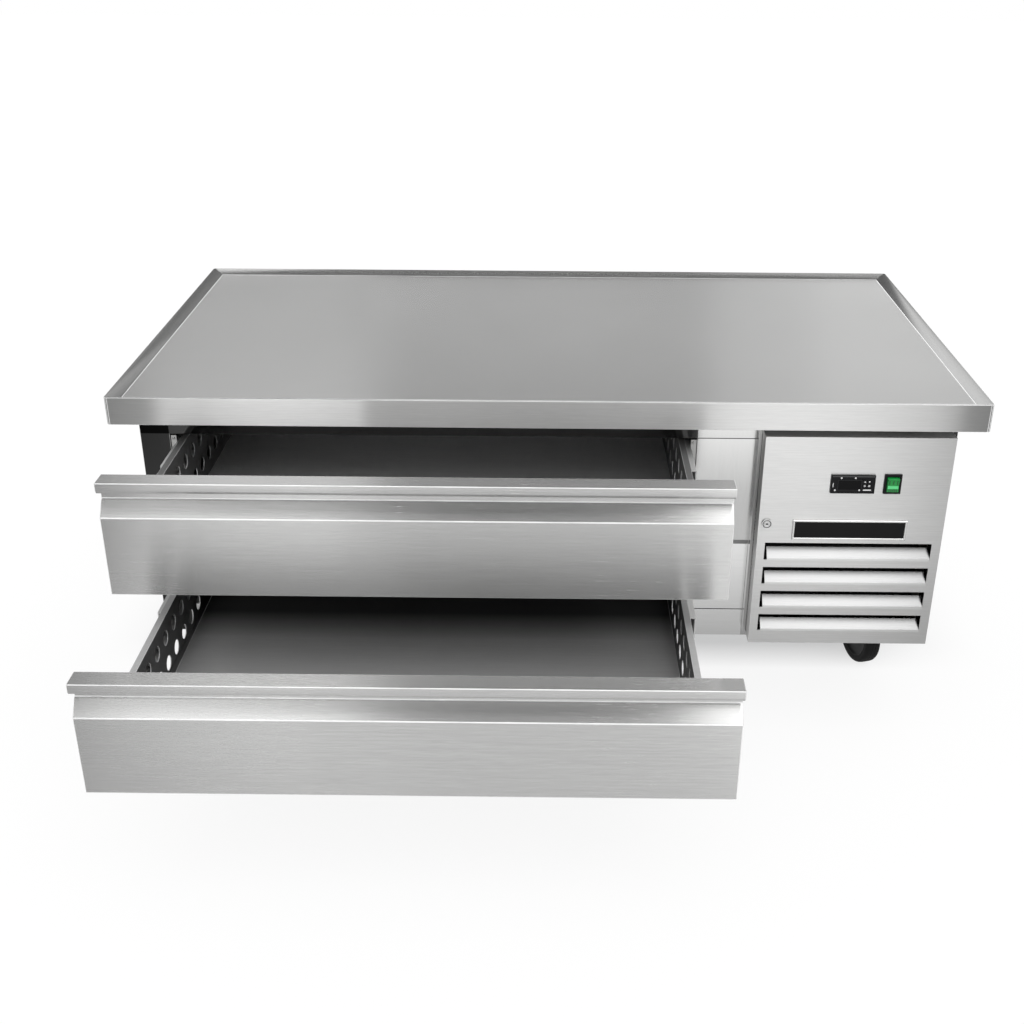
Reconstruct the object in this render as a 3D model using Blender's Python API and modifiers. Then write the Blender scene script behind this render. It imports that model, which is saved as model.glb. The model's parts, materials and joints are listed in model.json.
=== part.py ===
# A two-drawer refrigerated chef base on casters, with its drawers standing part open.
# Run it with: blender --background --python part.py
# Metres, +Z up, +X to the right seen from the front, +Y to the back, and the floor at z = 0.

import math

import bmesh
import bpy
from mathutils import Matrix, Vector

# Worktop
TOP_WIDTH = 1.534
TOP_DEPTH = 0.832
EDGE_HEIGHT = 0.050
RIM_WIDTH = 0.025
RIM_DROP = 0.008
TOP_SHEET = 0.0015
TOP_RETURN = 0.018
TOP_CORNER_RADIUS = 0.006

# Cabinet
SIDE_OVERHANG = 0.0365
FACE_SETBACK = 0.060
BACK_SETBACK = 0.020
SHEET = 0.0012
FRAME_SHEET = 0.0015
FRAME_UNDER_TOP = 0.020
LINER_SHEET = 0.0010
GAP = 0.0003
CUT_OVERRUN = 0.010

# Drawer openings, shared by both drawers
LEFT_STILE = 0.0525
RIGHT_STILE = 0.112
FRONT_ABOVE_BODY_BOTTOM = 0.018
FRONT_SPACING = 0.020
FRONT_UNDER_TOP = 0.005
FRONT_SETBACK = 0.0025
UPPER_OPEN = 0.234
LOWER_OPEN = 0.470

# Drawer fronts, in section from the top of the handle down
FRONT_LAP_LEFT = 0.0392
FRONT_LAP_RIGHT = 0.0318
FRONT_HEIGHT = 0.2025
FRONT_THICKNESS = 0.045
RIDGE_PROUD = 0.003
HANDLE_DEPTH = 0.037
LIP_HEIGHT = 0.0195
LIP_RADIUS = 0.007
LIP_STEPS = 4
GRIP_DEPTH = 0.021
GRIP_BOTTOM = 0.036
SLOPE_TOP = 0.039
SLOPE_DEPTH = 0.0173
BEND_DROP = 0.0626
BACK_STEP = 0.0095

# Inner panel and gasket of a drawer front
INNER_PANEL_MARGIN = 0.013
INNER_PANEL_TOP_DROP = 0.0045
INNER_PANEL_SHEET = 0.0015
GASKET_WIDTH = 0.018
GASKET_THICKNESS = 0.010
GASKET_BOTTOM_MARGIN = 0.010

# Drawer boxes
BOX_BACK_ROOM = 0.0988
BOX_SHEET = 0.0015
BOX_FLANGE = 0.0095
BOX_TOP_DROP = 0.0395
BOX_FLOOR_RISE = 0.0425
HOLE_DIAMETER = 0.0265
HOLE_PITCH = 0.052
HOLE_FIRST = 0.050
HOLE_ROW_DROP_SHARE = 0.278
HOLE_ROW_PITCH_SHARE = 0.4124
HOLE_SIDES = 12

# Three-piece drawer slides
SLIDE_ROOM = 0.033
SLIDE_HEIGHT = 0.040
SLIDE_DROP = 0.050
SLIDE_WEB = 0.0020
SLIDE_CLEARANCE = 0.0005
SLIDE_FRONT_SETBACK = 0.004

# Rails of the face frame round the openings
RAIL_CLEARANCE_TOP = 0.0040
RAIL_CLEARANCE_BOTTOM = 0.0035

# Cold compartment
LINER_STEP = 0.004
CAVITY_BACK_WALL = 0.052
EVAPORATOR_COLUMN_WIDTH = 0.067
DIVIDER_SETBACK = 0.0105

# Compressor access panel
PANEL_WIDTH = 0.3325
PANEL_FROM_SIDE = 0.018
PANEL_UNDER_TOP = 0.013
PANEL_ABOVE_BODY_BOTTOM = 0.0185
PANEL_SHEET = 0.0012
PANEL_DEPTH = 0.034
COLLAR_DEPTH = 0.0205
COLLAR_WIDTH = 0.0057
COLLAR_INSET = 0.0010

# Louvres of the access panel
LOUVRE_COUNT = 4
LOUVRE_LEFT = 0.015
LOUVRE_RIGHT = 0.0165
LOUVRE_HEIGHT_SHARE = 0.08283
LOUVRE_FIRST_DROP_SHARE = 0.4958
LOUVRE_PITCH_SHARE = 0.11933
VANE_SIDE_GAP = 0.0062
VANE_RISE = 0.0195
VANE_LEAN = 0.015
VANE_SHEET = 0.0012
VANE_INSET = 0.0001
VANE_SINK = 0.0004

# Hinge of the access panel
KNUCKLE_RADIUS = 0.0025
HINGE_PIN_RADIUS = 0.0014
HINGE_BORE_RADIUS = 0.0018
HINGE_OFFSET = 0.0029
HINGE_MARGIN = 0.020
HINGE_KNUCKLES = 5
KNUCKLE_GAP = 0.0005

# Panel lock
LOCK_FROM_LEFT = 0.0147
LOCK_DROP_SHARE = 0.40216
LOCK_HEAD_RADIUS = 0.0092
LOCK_HEAD_THICKNESS = 0.0030
LOCK_BARREL_RADIUS = 0.0070
LOCK_PLUG_RADIUS = 0.0048
LOCK_PLUG_CLEARANCE = 0.0003
CAM_LENGTH = 0.0200
CAM_WIDTH = 0.0110
CAM_THICKNESS = 0.0025
CAM_BEHIND_FRAME = 0.0020
KEY_SLOT_WIDTH = 0.0012
KEY_SLOT_LENGTH = 0.0056
KEY_SLOT_DEPTH = 0.0030

# Temperature controller
CONTROLLER_FROM_LEFT = 0.1208
CONTROLLER_DROP_SHARE = 0.16807
CONTROLLER_WIDTH = 0.0780
CONTROLLER_HEIGHT = 0.0352
CONTROLLER_PROUD = 0.0045
CONTROLLER_BODY_WIDTH = 0.0710
CONTROLLER_BODY_HEIGHT = 0.0290
CONTROLLER_BODY_DEPTH = 0.0560
CONTROLLER_FIT = 0.0004
WINDOW_LEFT = 0.0125
WINDOW_DROP = 0.0095
WINDOW_WIDTH = 0.0410
WINDOW_HEIGHT = 0.0185
LENS_THICKNESS = 0.0012
KEY_SIZE = 0.0050
KEY_FIRST_LEFT = 0.0595
KEY_FIRST_DROP = 0.0120
KEY_PITCH = 0.0078
KEY_PROUD = 0.0008
KEY_LENGTH = 0.0060
KEY_POCKET = 0.0090
KEY_FIT = 0.0004
KEY_TRAVEL = 0.0006

# Rocker switch
SWITCH_FROM_LEFT = 0.2147
SWITCH_DROP_SHARE = 0.16447
SWITCH_WIDTH = 0.0308
SWITCH_HEIGHT = 0.0375
SWITCH_BEZEL = 0.0030
SWITCH_BODY_WIDTH = 0.0270
SWITCH_BODY_HEIGHT = 0.0330
SWITCH_BODY_DEPTH = 0.0240
SWITCH_WELL_WIDTH = 0.0224
SWITCH_WELL_HEIGHT = 0.0284
SWITCH_WELL_DEPTH = 0.0200
ROCKER_WIDTH = 0.0212
ROCKER_HEIGHT = 0.0262
ROCKER_PROUD = 0.0042
ROCKER_DISH = 0.0022
ROCKER_SKIRT = 0.0060
ROCKER_PIVOT_DEPTH = 0.0060
ROCKER_TILT = math.radians(6.0)

# Blank nameplate
PLATE_FROM_LEFT = 0.0617
PLATE_DROP_SHARE = 0.38295
PLATE_WIDTH = 0.2040
PLATE_HEIGHT = 0.0385
PLATE_THICKNESS = 0.0022
PLATE_BORDER = 0.0030
PLATE_RECESS = 0.0008

# Base frame and casters
BASE_FROM_SIDE = 0.0155
BASE_DEPTH = 0.019
BASE_STRIP = 0.090
BASE_FRONT_SETBACK = 0.1805
BASE_BACK_SETBACK = 0.110
BASE_SHEET = 0.0025
CASTER_ABOVE_WHEEL = 0.033
CASTER_FROM_BASE_SIDE = 0.0436
CASTER_FROM_BASE_END = 0.047
CASTER_PLATE = 0.004
CASTER_PLATE_LENGTH = 0.100
CASTER_PLATE_WIDTH = 0.080
WHEEL_RADIUS = 0.0625
WHEEL_WIDTH = 0.032
WHEEL_EDGE = 0.006
WHEEL_CORE_RADIUS = 0.048
WHEEL_WEB_WIDTH = 0.022
HUB_RADIUS = 0.017
HUB_WIDTH = 0.036
AXLE_RADIUS = 0.005
AXLE_CLEARANCE = 0.0004
CASTER_TRAIL = 0.040
FORK_THICKNESS = 0.003
FORK_SIDE_CLEARANCE = 0.002
FORK_EYE_RADIUS = 0.014
FORK_CROWN_LENGTH = 0.056
FORK_CROWN_DROP = 0.012
SWIVEL_RADIUS = 0.026
AXLE_HEAD = 0.004
AXLE_HEAD_RADIUS = 0.009
WHEEL_SEGMENTS = 24
ROUND_SIDES = 24
SMALL_SIDES = 16

# Where each caster is turned, counted from pointing straight back
CASTER_TURNS = {
    "front_right": math.radians(15.4),
    "front_left": math.radians(20.0),
    "back_right": math.radians(35.0),
    "back_left": math.radians(-25.0),
}

# Evaporator in the column beside the drawers
EVAPORATOR_SHEET = 0.0012
EVAPORATOR_COLUMN_MARGIN = 0.004
EVAPORATOR_FAN_RADIUS = 0.052
EVAPORATOR_FAN_HOLE_CLEARANCE = 0.006
EVAPORATOR_FAN_SETBACK = 0.150
EVAPORATOR_FAN_DROP = 0.150
EVAPORATOR_HUB_RADIUS = 0.014
EVAPORATOR_HUB_LENGTH = 0.014
EVAPORATOR_MOTOR_RADIUS = 0.028
EVAPORATOR_MOTOR_LENGTH = 0.030
EVAPORATOR_COIL_SETBACK = 0.300
EVAPORATOR_COIL_LENGTH = 0.260
EVAPORATOR_COIL_ROOM = 0.058
EVAPORATOR_COIL_THICKNESS = 0.050
EVAPORATOR_FINS = 18
FIN_DEPTH = 0.008
FIN_FILL_SHARE = 0.5

# Condensing unit behind the access panel
UNIT_BASE_THICKNESS = 0.003
UNIT_BASE_LIP = 0.018
UNIT_MARGIN = 0.010
CONDENSER_SETBACK = 0.020
CONDENSER_THICKNESS = 0.044
CONDENSER_HEIGHT = 0.270
CONDENSER_FINS = 24
SHROUD_SHEET = 0.0012
SHROUD_DEPTH = 0.036
CONDENSER_FAN_RADIUS = 0.098
CONDENSER_FAN_CLEARANCE = 0.006
CONDENSER_HUB_RADIUS = 0.022
CONDENSER_HUB_LENGTH = 0.024
CONDENSER_FAN_PLANE = 0.030
CONDENSER_MOTOR_RADIUS = 0.038
CONDENSER_MOTOR_LENGTH = 0.060
MOTOR_GAP = 0.006
MOTOR_FOOT_WIDTH = 0.050
MOTOR_FOOT_LENGTH = 0.040
FAN_SHAFT_RADIUS = 0.004
FAN_BORE_CLEARANCE = 0.0003
FAN_BLADES = 4
FAN_BLADE_THICKNESS = 0.0016
FAN_BLADE_PITCH = math.radians(28.0)
FAN_BLADE_ROOT_SHARE = 0.8
EVAPORATOR_BLADE_CHORD = 0.022
CONDENSER_BLADE_CHORD = 0.052
COMPRESSOR_RADIUS = 0.078
COMPRESSOR_HEIGHT = 0.210
COMPRESSOR_SEAM_HEIGHT = 0.105
COMPRESSOR_SEAM_PROUD = 0.005
COMPRESSOR_SEAM_THICKNESS = 0.008
COMPRESSOR_DOME = 0.050
COMPRESSOR_FOOT_THICKNESS = 0.006
COMPRESSOR_FOOT_WIDTH = 0.190
COMPRESSOR_FOOT_LENGTH = 0.150
COMPRESSOR_BACK_SETBACK = 0.170

# Vents in the back panel
VENT_COUNT = 7
VENT_WIDTH = 0.200
VENT_HEIGHT = 0.012
VENT_PITCH = 0.030
VENT_DROP = 0.130

# Points nearer than this are welded, and a face looks along an axis past this share
WELD = 0.00001
FACING = 0.5

# Sizes worked out from the sizes above
BODY_WIDTH = TOP_WIDTH - 2 * SIDE_OVERHANG
BODY_SIDE = BODY_WIDTH / 2
BASE_HALF_WIDTH = BODY_SIDE - BASE_FROM_SIDE
CASTER_X = BASE_HALF_WIDTH - CASTER_FROM_BASE_SIDE
CASTER_FRONT_SETBACK = BASE_FRONT_SETBACK + CASTER_FROM_BASE_END
CASTER_BACK_SETBACK = BASE_BACK_SETBACK + CASTER_FROM_BASE_END
CASTER_HEIGHT = 2 * WHEEL_RADIUS + CASTER_ABOVE_WHEEL
BODY_BOTTOM = CASTER_HEIGHT + BASE_DEPTH
DRAWER_PITCH = FRONT_HEIGHT + FRONT_SPACING
LOWER_FRONT_TOP = BODY_BOTTOM + FRONT_ABOVE_BODY_BOTTOM + FRONT_HEIGHT
UPPER_FRONT_TOP = LOWER_FRONT_TOP + DRAWER_PITCH
UNDER_TOP = UPPER_FRONT_TOP + FRONT_UNDER_TOP
TOP_HEIGHT = UNDER_TOP + EDGE_HEIGHT
BOX_FLOOR_DROP = FRONT_HEIGHT - BOX_FLOOR_RISE
BOX_DEPTH = BOX_FLOOR_DROP - BOX_TOP_DROP
HOLE_ROW_DROP = BOX_DEPTH * HOLE_ROW_DROP_SHARE
HOLE_ROW_PITCH = BOX_DEPTH * HOLE_ROW_PITCH_SHARE
PANEL_RIGHT = BODY_SIDE - PANEL_FROM_SIDE
PANEL_LEFT = PANEL_RIGHT - PANEL_WIDTH
PANEL_TOP = UNDER_TOP - PANEL_UNDER_TOP
PANEL_BOTTOM = BODY_BOTTOM + PANEL_ABOVE_BODY_BOTTOM
PANEL_HEIGHT = PANEL_TOP - PANEL_BOTTOM
OPENING_LEFT = LEFT_STILE - BODY_SIDE
OPENING_RIGHT = PANEL_LEFT - RIGHT_STILE
OPENING_WIDTH = OPENING_RIGHT - OPENING_LEFT
OPENING_CENTRE_X = (OPENING_LEFT + OPENING_RIGHT) / 2
FRONT_LEFT = OPENING_LEFT - FRONT_LAP_LEFT
FRONT_RIGHT = OPENING_RIGHT + FRONT_LAP_RIGHT
BOX_INNER_WIDTH = OPENING_WIDTH - 2 * (SLIDE_ROOM + BOX_SHEET)
CAVITY_RIGHT = OPENING_RIGHT + EVAPORATOR_COLUMN_WIDTH
DIVIDER_RIGHT = PANEL_LEFT - DIVIDER_SETBACK
LOUVRE_WIDTH = PANEL_WIDTH - LOUVRE_LEFT - LOUVRE_RIGHT
LOUVRE_HEIGHT = PANEL_HEIGHT * LOUVRE_HEIGHT_SHARE
LOUVRE_FIRST_DROP = PANEL_HEIGHT * LOUVRE_FIRST_DROP_SHARE
LOUVRE_PITCH = PANEL_HEIGHT * LOUVRE_PITCH_SHARE
LOCK_DROP = PANEL_HEIGHT * LOCK_DROP_SHARE
CONTROLLER_DROP = PANEL_HEIGHT * CONTROLLER_DROP_SHARE
SWITCH_DROP = PANEL_HEIGHT * SWITCH_DROP_SHARE
PLATE_DROP = PANEL_HEIGHT * PLATE_DROP_SHARE

# Places worked out from the sizes above
LOWER_REACH = LOWER_OPEN + RIDGE_PROUD - FRONT_SETBACK
TOP_FRONT = (LOWER_REACH - TOP_DEPTH) / 2
TOP_BACK = TOP_FRONT + TOP_DEPTH
FRONT_PLANE = TOP_FRONT + FRONT_SETBACK
FACE = TOP_FRONT + FACE_SETBACK
FACE_BACK = FACE + FRAME_SHEET
BODY_BACK = TOP_BACK - BACK_SETBACK
BODY_TOP = TOP_HEIGHT - RIM_DROP - TOP_SHEET - GAP
UPPER_OPENING_TOP = UPPER_FRONT_TOP - BOX_TOP_DROP + RAIL_CLEARANCE_TOP
UPPER_OPENING_BOTTOM = UPPER_FRONT_TOP - BOX_FLOOR_DROP - RAIL_CLEARANCE_BOTTOM
LOWER_OPENING_TOP = UPPER_OPENING_TOP - DRAWER_PITCH
LOWER_OPENING_BOTTOM = UPPER_OPENING_BOTTOM - DRAWER_PITCH
LINER_FLOOR = LOWER_OPENING_BOTTOM - LINER_STEP
LINER_CEILING = UPPER_OPENING_TOP + LINER_STEP
LINER_BACK = BODY_BACK - SHEET - CAVITY_BACK_WALL
BOX_LENGTH = LINER_BACK - FACE - BOX_BACK_ROOM
SLIDE_LENGTH = BOX_LENGTH
HOLE_COUNT = int((BOX_LENGTH - HOLE_FIRST) / HOLE_PITCH)
PANEL_REAR = FRONT_PLANE + PANEL_DEPTH
COLLAR_FRONT = FACE - COLLAR_DEPTH
BAY_LEFT = PANEL_LEFT
BAY_RIGHT = PANEL_RIGHT - COLLAR_WIDTH
BAY_TOP = PANEL_TOP - COLLAR_INSET - COLLAR_WIDTH
BAY_BOTTOM = PANEL_BOTTOM + COLLAR_INSET + COLLAR_WIDTH
HINGE_X = PANEL_RIGHT + HINGE_OFFSET
HINGE_Y = PANEL_REAR + HINGE_OFFSET
LOCK_X = PANEL_LEFT + LOCK_FROM_LEFT
LOCK_Z = PANEL_TOP - LOCK_DROP
BASE_FLOOR = BODY_BOTTOM + SHEET + GAP
UNIT_FLOOR = BASE_FLOOR + UNIT_BASE_THICKNESS
CONDENSER_FRONT = FACE_BACK + CONDENSER_SETBACK
SHROUD_FRONT = CONDENSER_FRONT + CONDENSER_THICKNESS + GAP
CONDENSER_FAN_X = (BAY_LEFT + BAY_RIGHT) / 2
CONDENSER_FAN_Z = UNIT_FLOOR + CONDENSER_HEIGHT / 2
CONDENSER_FAN_Y = SHROUD_FRONT + CONDENSER_FAN_PLANE
EVAPORATOR_FAN_Y = FACE + EVAPORATOR_FAN_SETBACK
EVAPORATOR_FAN_Z = LINER_CEILING - EVAPORATOR_FAN_DROP
EVAPORATOR_WALL = OPENING_RIGHT


def clear_scene():
    """Starts from an empty scene."""
    for old in list(bpy.data.objects):
        bpy.data.objects.remove(old, do_unlink=True)


def new_collection(name):
    collection = bpy.data.collections.new(name)
    bpy.context.scene.collection.children.link(collection)
    return collection


def new_material(name, colour, roughness, metallic):
    """A plain Principled material."""
    material = bpy.data.materials.new(name)
    material.use_nodes = True
    shader = material.node_tree.nodes["Principled BSDF"]
    shader.inputs["Base Color"].default_value = (*colour, 1.0)
    shader.inputs["Roughness"].default_value = roughness
    shader.inputs["Metallic"].default_value = metallic
    return material


clear_scene()
PARTS = new_collection("refrigerated_chef_base")
CUTTERS = new_collection("cutters")

STAINLESS = new_material("brushed_stainless", (0.62, 0.62, 0.61), 0.32, 1.0)
STAINLESS_DARK = new_material("dull_stainless", (0.40, 0.40, 0.40), 0.45, 1.0)
GALVANISED = new_material("galvanised_steel", (0.50, 0.52, 0.53), 0.55, 1.0)
ALUMINIUM = new_material("bare_aluminium", (0.72, 0.73, 0.74), 0.40, 1.0)
BLACK_STEEL = new_material("black_enamel", (0.02, 0.02, 0.02), 0.35, 0.0)
BLACK_PLASTIC = new_material("black_plastic", (0.03, 0.03, 0.03), 0.45, 0.0)
GREY_KEY = new_material("grey_plastic_key", (0.55, 0.56, 0.57), 0.5, 0.0)
DARK_WINDOW = new_material("dark_window", (0.01, 0.01, 0.012), 0.08, 0.0)
GREEN_PLASTIC = new_material("green_rocker", (0.03, 0.42, 0.09), 0.3, 0.0)
BLACK_RUBBER = new_material("black_rubber", (0.015, 0.015, 0.015), 0.8, 0.0)
GREY_GASKET = new_material("grey_gasket", (0.16, 0.16, 0.17), 0.7, 0.0)
FOAM = new_material("rigid_foam", (0.78, 0.70, 0.48), 0.9, 0.0)
ZINC = new_material("zinc_plated_steel", (0.60, 0.61, 0.62), 0.38, 1.0)


def place(name, mesh, material, origin=(0.0, 0.0, 0.0), collection=None):
    """Links a mesh, drawn in world places, as an object whose origin is the given point."""
    mesh.transform(Matrix.Translation(-Vector(origin)))
    obj = bpy.data.objects.new(name, mesh)
    obj.location = origin
    if material is not None:
        mesh.materials.append(material)
    (collection or PARTS).objects.link(obj)
    return obj


def mesh_of(bm, name):
    mesh = bpy.data.meshes.new(name)
    bm.to_mesh(mesh)
    bm.free()
    return mesh


def add_block(bm, low, high):
    """Adds a box between two corners and gives back its vertices."""
    low = Vector(low)
    high = Vector(high)
    made = bmesh.ops.create_cube(bm, size=1.0)["verts"]
    size = high - low
    bmesh.ops.scale(bm, vec=size, verts=made)
    bmesh.ops.translate(bm, vec=(low + high) / 2, verts=made)
    return made


AXIS_TURNS = {
    "X": Matrix.Rotation(math.pi / 2, 4, "Y"),
    "Y": Matrix.Rotation(-math.pi / 2, 4, "X"),
    "Z": Matrix.Identity(4),
}


def add_rod(bm, axis, start, length, radius, sides, end_radius=None):
    """Adds a cylinder or cone that runs from a point along +X, +Y or +Z."""
    turn = AXIS_TURNS[axis]
    middle = Vector(start) + turn @ Vector((0.0, 0.0, length / 2))
    made = bmesh.ops.create_cone(
        bm,
        cap_ends=True,
        segments=sides,
        radius1=radius,
        radius2=radius if end_radius is None else end_radius,
        depth=length,
        matrix=Matrix.Translation(middle) @ turn,
    )
    return made["verts"]


def block(name, low, high, material, origin=(0.0, 0.0, 0.0), collection=None):
    bm = bmesh.new()
    add_block(bm, low, high)
    return place(name, mesh_of(bm, name), material, origin, collection)


def rod(name, axis, start, length, radius, material, sides=ROUND_SIDES, origin=(0.0, 0.0, 0.0)):
    bm = bmesh.new()
    add_rod(bm, axis, start, length, radius, sides)
    return place(name, mesh_of(bm, name), material, origin)


def as_tool(obj):
    """Turns an object into a hidden cutter or joining shape."""
    for holder in list(obj.users_collection):
        holder.objects.unlink(obj)
    CUTTERS.objects.link(obj)
    obj.hide_render = True
    obj.display_type = "WIRE"
    return obj


def boolean(target, tool, operation):
    as_tool(tool)
    modifier = target.modifiers.new(operation.lower() + "_" + tool.name, "BOOLEAN")
    modifier.operation = operation
    modifier.object = tool
    modifier.solver = "EXACT"
    return target


def cut(target, tool):
    return boolean(target, tool, "DIFFERENCE")


def join(target, tool):
    return boolean(target, tool, "UNION")


def settle(obj):
    """Turns an object with its modifiers into a plain mesh of the same shape."""
    bpy.context.view_layer.update()
    graph = bpy.context.evaluated_depsgraph_get()
    mesh = bpy.data.meshes.new_from_object(obj.evaluated_get(graph))
    bm = bmesh.new()
    bm.from_mesh(mesh)
    bmesh.ops.remove_doubles(bm, verts=bm.verts, dist=WELD)
    bm.to_mesh(mesh)
    bm.free()
    used = [modifier.object for modifier in obj.modifiers if modifier.type == "BOOLEAN"]
    obj.modifiers.clear()
    if obj.type == "MESH":
        obj.data = mesh
        for tool in used:
            bpy.data.objects.remove(tool, do_unlink=True)
        return obj
    name = obj.name
    world = obj.matrix_world.copy()
    bpy.data.objects.remove(obj, do_unlink=True)
    solid = bpy.data.objects.new(name, mesh)
    solid.matrix_world = world
    PARTS.objects.link(solid)
    return solid


# Which way an outline drawn in (u, v) stands: it is pushed out along the named axis
OUTLINE_TURNS = {
    "X": Matrix(((0, 0, 1, 0), (1, 0, 0, 0), (0, 1, 0, 0), (0, 0, 0, 1))),
    "Y": Matrix(((0, 1, 0, 0), (0, 0, 1, 0), (1, 0, 0, 0), (0, 0, 0, 1))),
    "Z": Matrix.Identity(4),
}


def outline(name, axis, loops, low, high, material, origin=(0.0, 0.0, 0.0)):
    """A flat outline, with holes if more loops are given, pushed out from low to high along an axis.

    The points are (y, z) for X, (z, x) for Y and (x, y) for Z.
    """
    curve = bpy.data.curves.new(name, "CURVE")
    curve.dimensions = "2D"
    curve.fill_mode = "BOTH"
    curve.extrude = (high - low) / 2
    for points in loops:
        spline = curve.splines.new("POLY")
        spline.points.add(len(points) - 1)
        for slot, (u, v) in zip(spline.points, points):
            slot.co = (u, v, 0.0, 1.0)
        spline.use_cyclic_u = True
    obj = bpy.data.objects.new(name + "_outline", curve)
    PARTS.objects.link(obj)
    shift = Matrix.Translation(Vector((0.0, 0.0, (low + high) / 2)))
    obj.matrix_world = OUTLINE_TURNS[axis] @ shift
    solid = settle(obj)
    mesh = solid.data
    mesh.transform(solid.matrix_world)
    bpy.data.objects.remove(solid, do_unlink=True)
    mesh.materials.clear()
    mesh.name = name
    return place(name, mesh, material, origin)


def rectangle(u_low, u_high, v_low, v_high):
    return [(u_low, v_low), (u_high, v_low), (u_high, v_high), (u_low, v_high)]


def round_loop(u, v, radius, sides):
    steps = [2 * math.pi * i / sides for i in range(sides)]
    return [(u + radius * math.cos(a), v + radius * math.sin(a)) for a in steps]


def turned(name, profile, closed, segments, material):
    """A turned shape about its own Z axis from (radius, height) points."""
    mesh = bpy.data.meshes.new(name)
    points = [(radius, 0.0, height) for radius, height in profile]
    edges = [(i, i + 1) for i in range(len(points) - 1)]
    if closed:
        edges.append((len(points) - 1, 0))
    mesh.from_pydata(points, edges, [])
    mesh.materials.append(material)
    obj = bpy.data.objects.new(name, mesh)
    PARTS.objects.link(obj)
    screw = obj.modifiers.new("turn", "SCREW")
    screw.angle = 2 * math.pi
    screw.steps = segments
    screw.render_steps = segments
    screw.use_merge_vertices = True
    screw.merge_threshold = WELD
    screw.use_normal_calculate = False
    return obj


def smooth(obj, degrees=35.0):
    """Shades round pieces smooth and keeps their real edges."""
    obj.data.shade_smooth()
    obj.data.set_sharp_from_angle(angle=math.radians(degrees))
    return obj


def solidify(obj, thickness):
    """Gives an open surface its sheet thickness, on the inside."""
    modifier = obj.modifiers.new("sheet", "SOLIDIFY")
    modifier.thickness = thickness
    modifier.offset = -1.0
    modifier.use_even_offset = True
    return modifier


def turn_outward(bm, upward):
    """Makes the normals of an open surface agree, with the largest face looking up or down."""
    bmesh.ops.recalc_face_normals(bm, faces=bm.faces)
    largest = max(bm.faces, key=lambda face: face.calc_area())
    if (largest.normal.z > 0.0) != upward:
        bmesh.ops.reverse_faces(bm, faces=bm.faces)


def open_box(name, low, high, open_axis, open_high, sheet, material, origin=(0.0, 0.0, 0.0)):
    """A sheet-metal box with one side left open. Low and high are its outer corners."""
    bm = bmesh.new()
    add_block(bm, low, high)
    wanted = 1.0 if open_high else -1.0
    away = [face for face in bm.faces if face.normal[open_axis] * wanted > FACING]
    bmesh.ops.delete(bm, geom=away, context="FACES")
    obj = place(name, mesh_of(bm, name), material, origin)
    solidify(obj, sheet)
    return obj


def make_worktop():
    """The formed top: a raised rim all round a flat work surface, a deep edge and a short return."""
    bm = bmesh.new()
    half = TOP_WIDTH / 2
    add_block(bm, (-half, TOP_FRONT, UNDER_TOP), (half, TOP_BACK, TOP_HEIGHT))
    upright = [e for e in bm.edges if abs(e.verts[0].co.z - e.verts[1].co.z) > EDGE_HEIGHT / 2]
    bmesh.ops.bevel(bm, geom=upright, offset=TOP_CORNER_RADIUS, segments=3, profile=0.5, affect="EDGES")
    floor = [face for face in bm.faces if face.normal.z < -FACING]
    bmesh.ops.delete(bm, geom=floor, context="FACES")
    roof = [face for face in bm.faces if face.normal.z > FACING]
    bmesh.ops.inset_region(bm, faces=roof, thickness=RIM_WIDTH)
    middle = (TOP_FRONT + TOP_BACK) / 2
    for vertex in roof[0].verts:
        vertex.co.x = math.copysign(half - RIM_WIDTH, vertex.co.x)
        vertex.co.y = middle + math.copysign(TOP_DEPTH / 2 - RIM_WIDTH, vertex.co.y - middle)
        vertex.co.z -= RIM_DROP
    bmesh.ops.remove_doubles(bm, verts=bm.verts, dist=WELD)
    rim = [edge for edge in bm.edges if edge.is_boundary]
    grown = bmesh.ops.extrude_edge_only(bm, edges=rim)["geom"]
    for vertex in [item for item in grown if isinstance(item, bmesh.types.BMVert)]:
        vertex.co.x *= (half - TOP_RETURN) / half
        vertex.co.y = middle + (vertex.co.y - middle) * (TOP_DEPTH / 2 - TOP_RETURN) / (TOP_DEPTH / 2)
    turn_outward(bm, True)
    top = place("worktop", mesh_of(bm, "worktop"), STAINLESS)
    solidify(top, TOP_SHEET)
    return top


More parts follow.
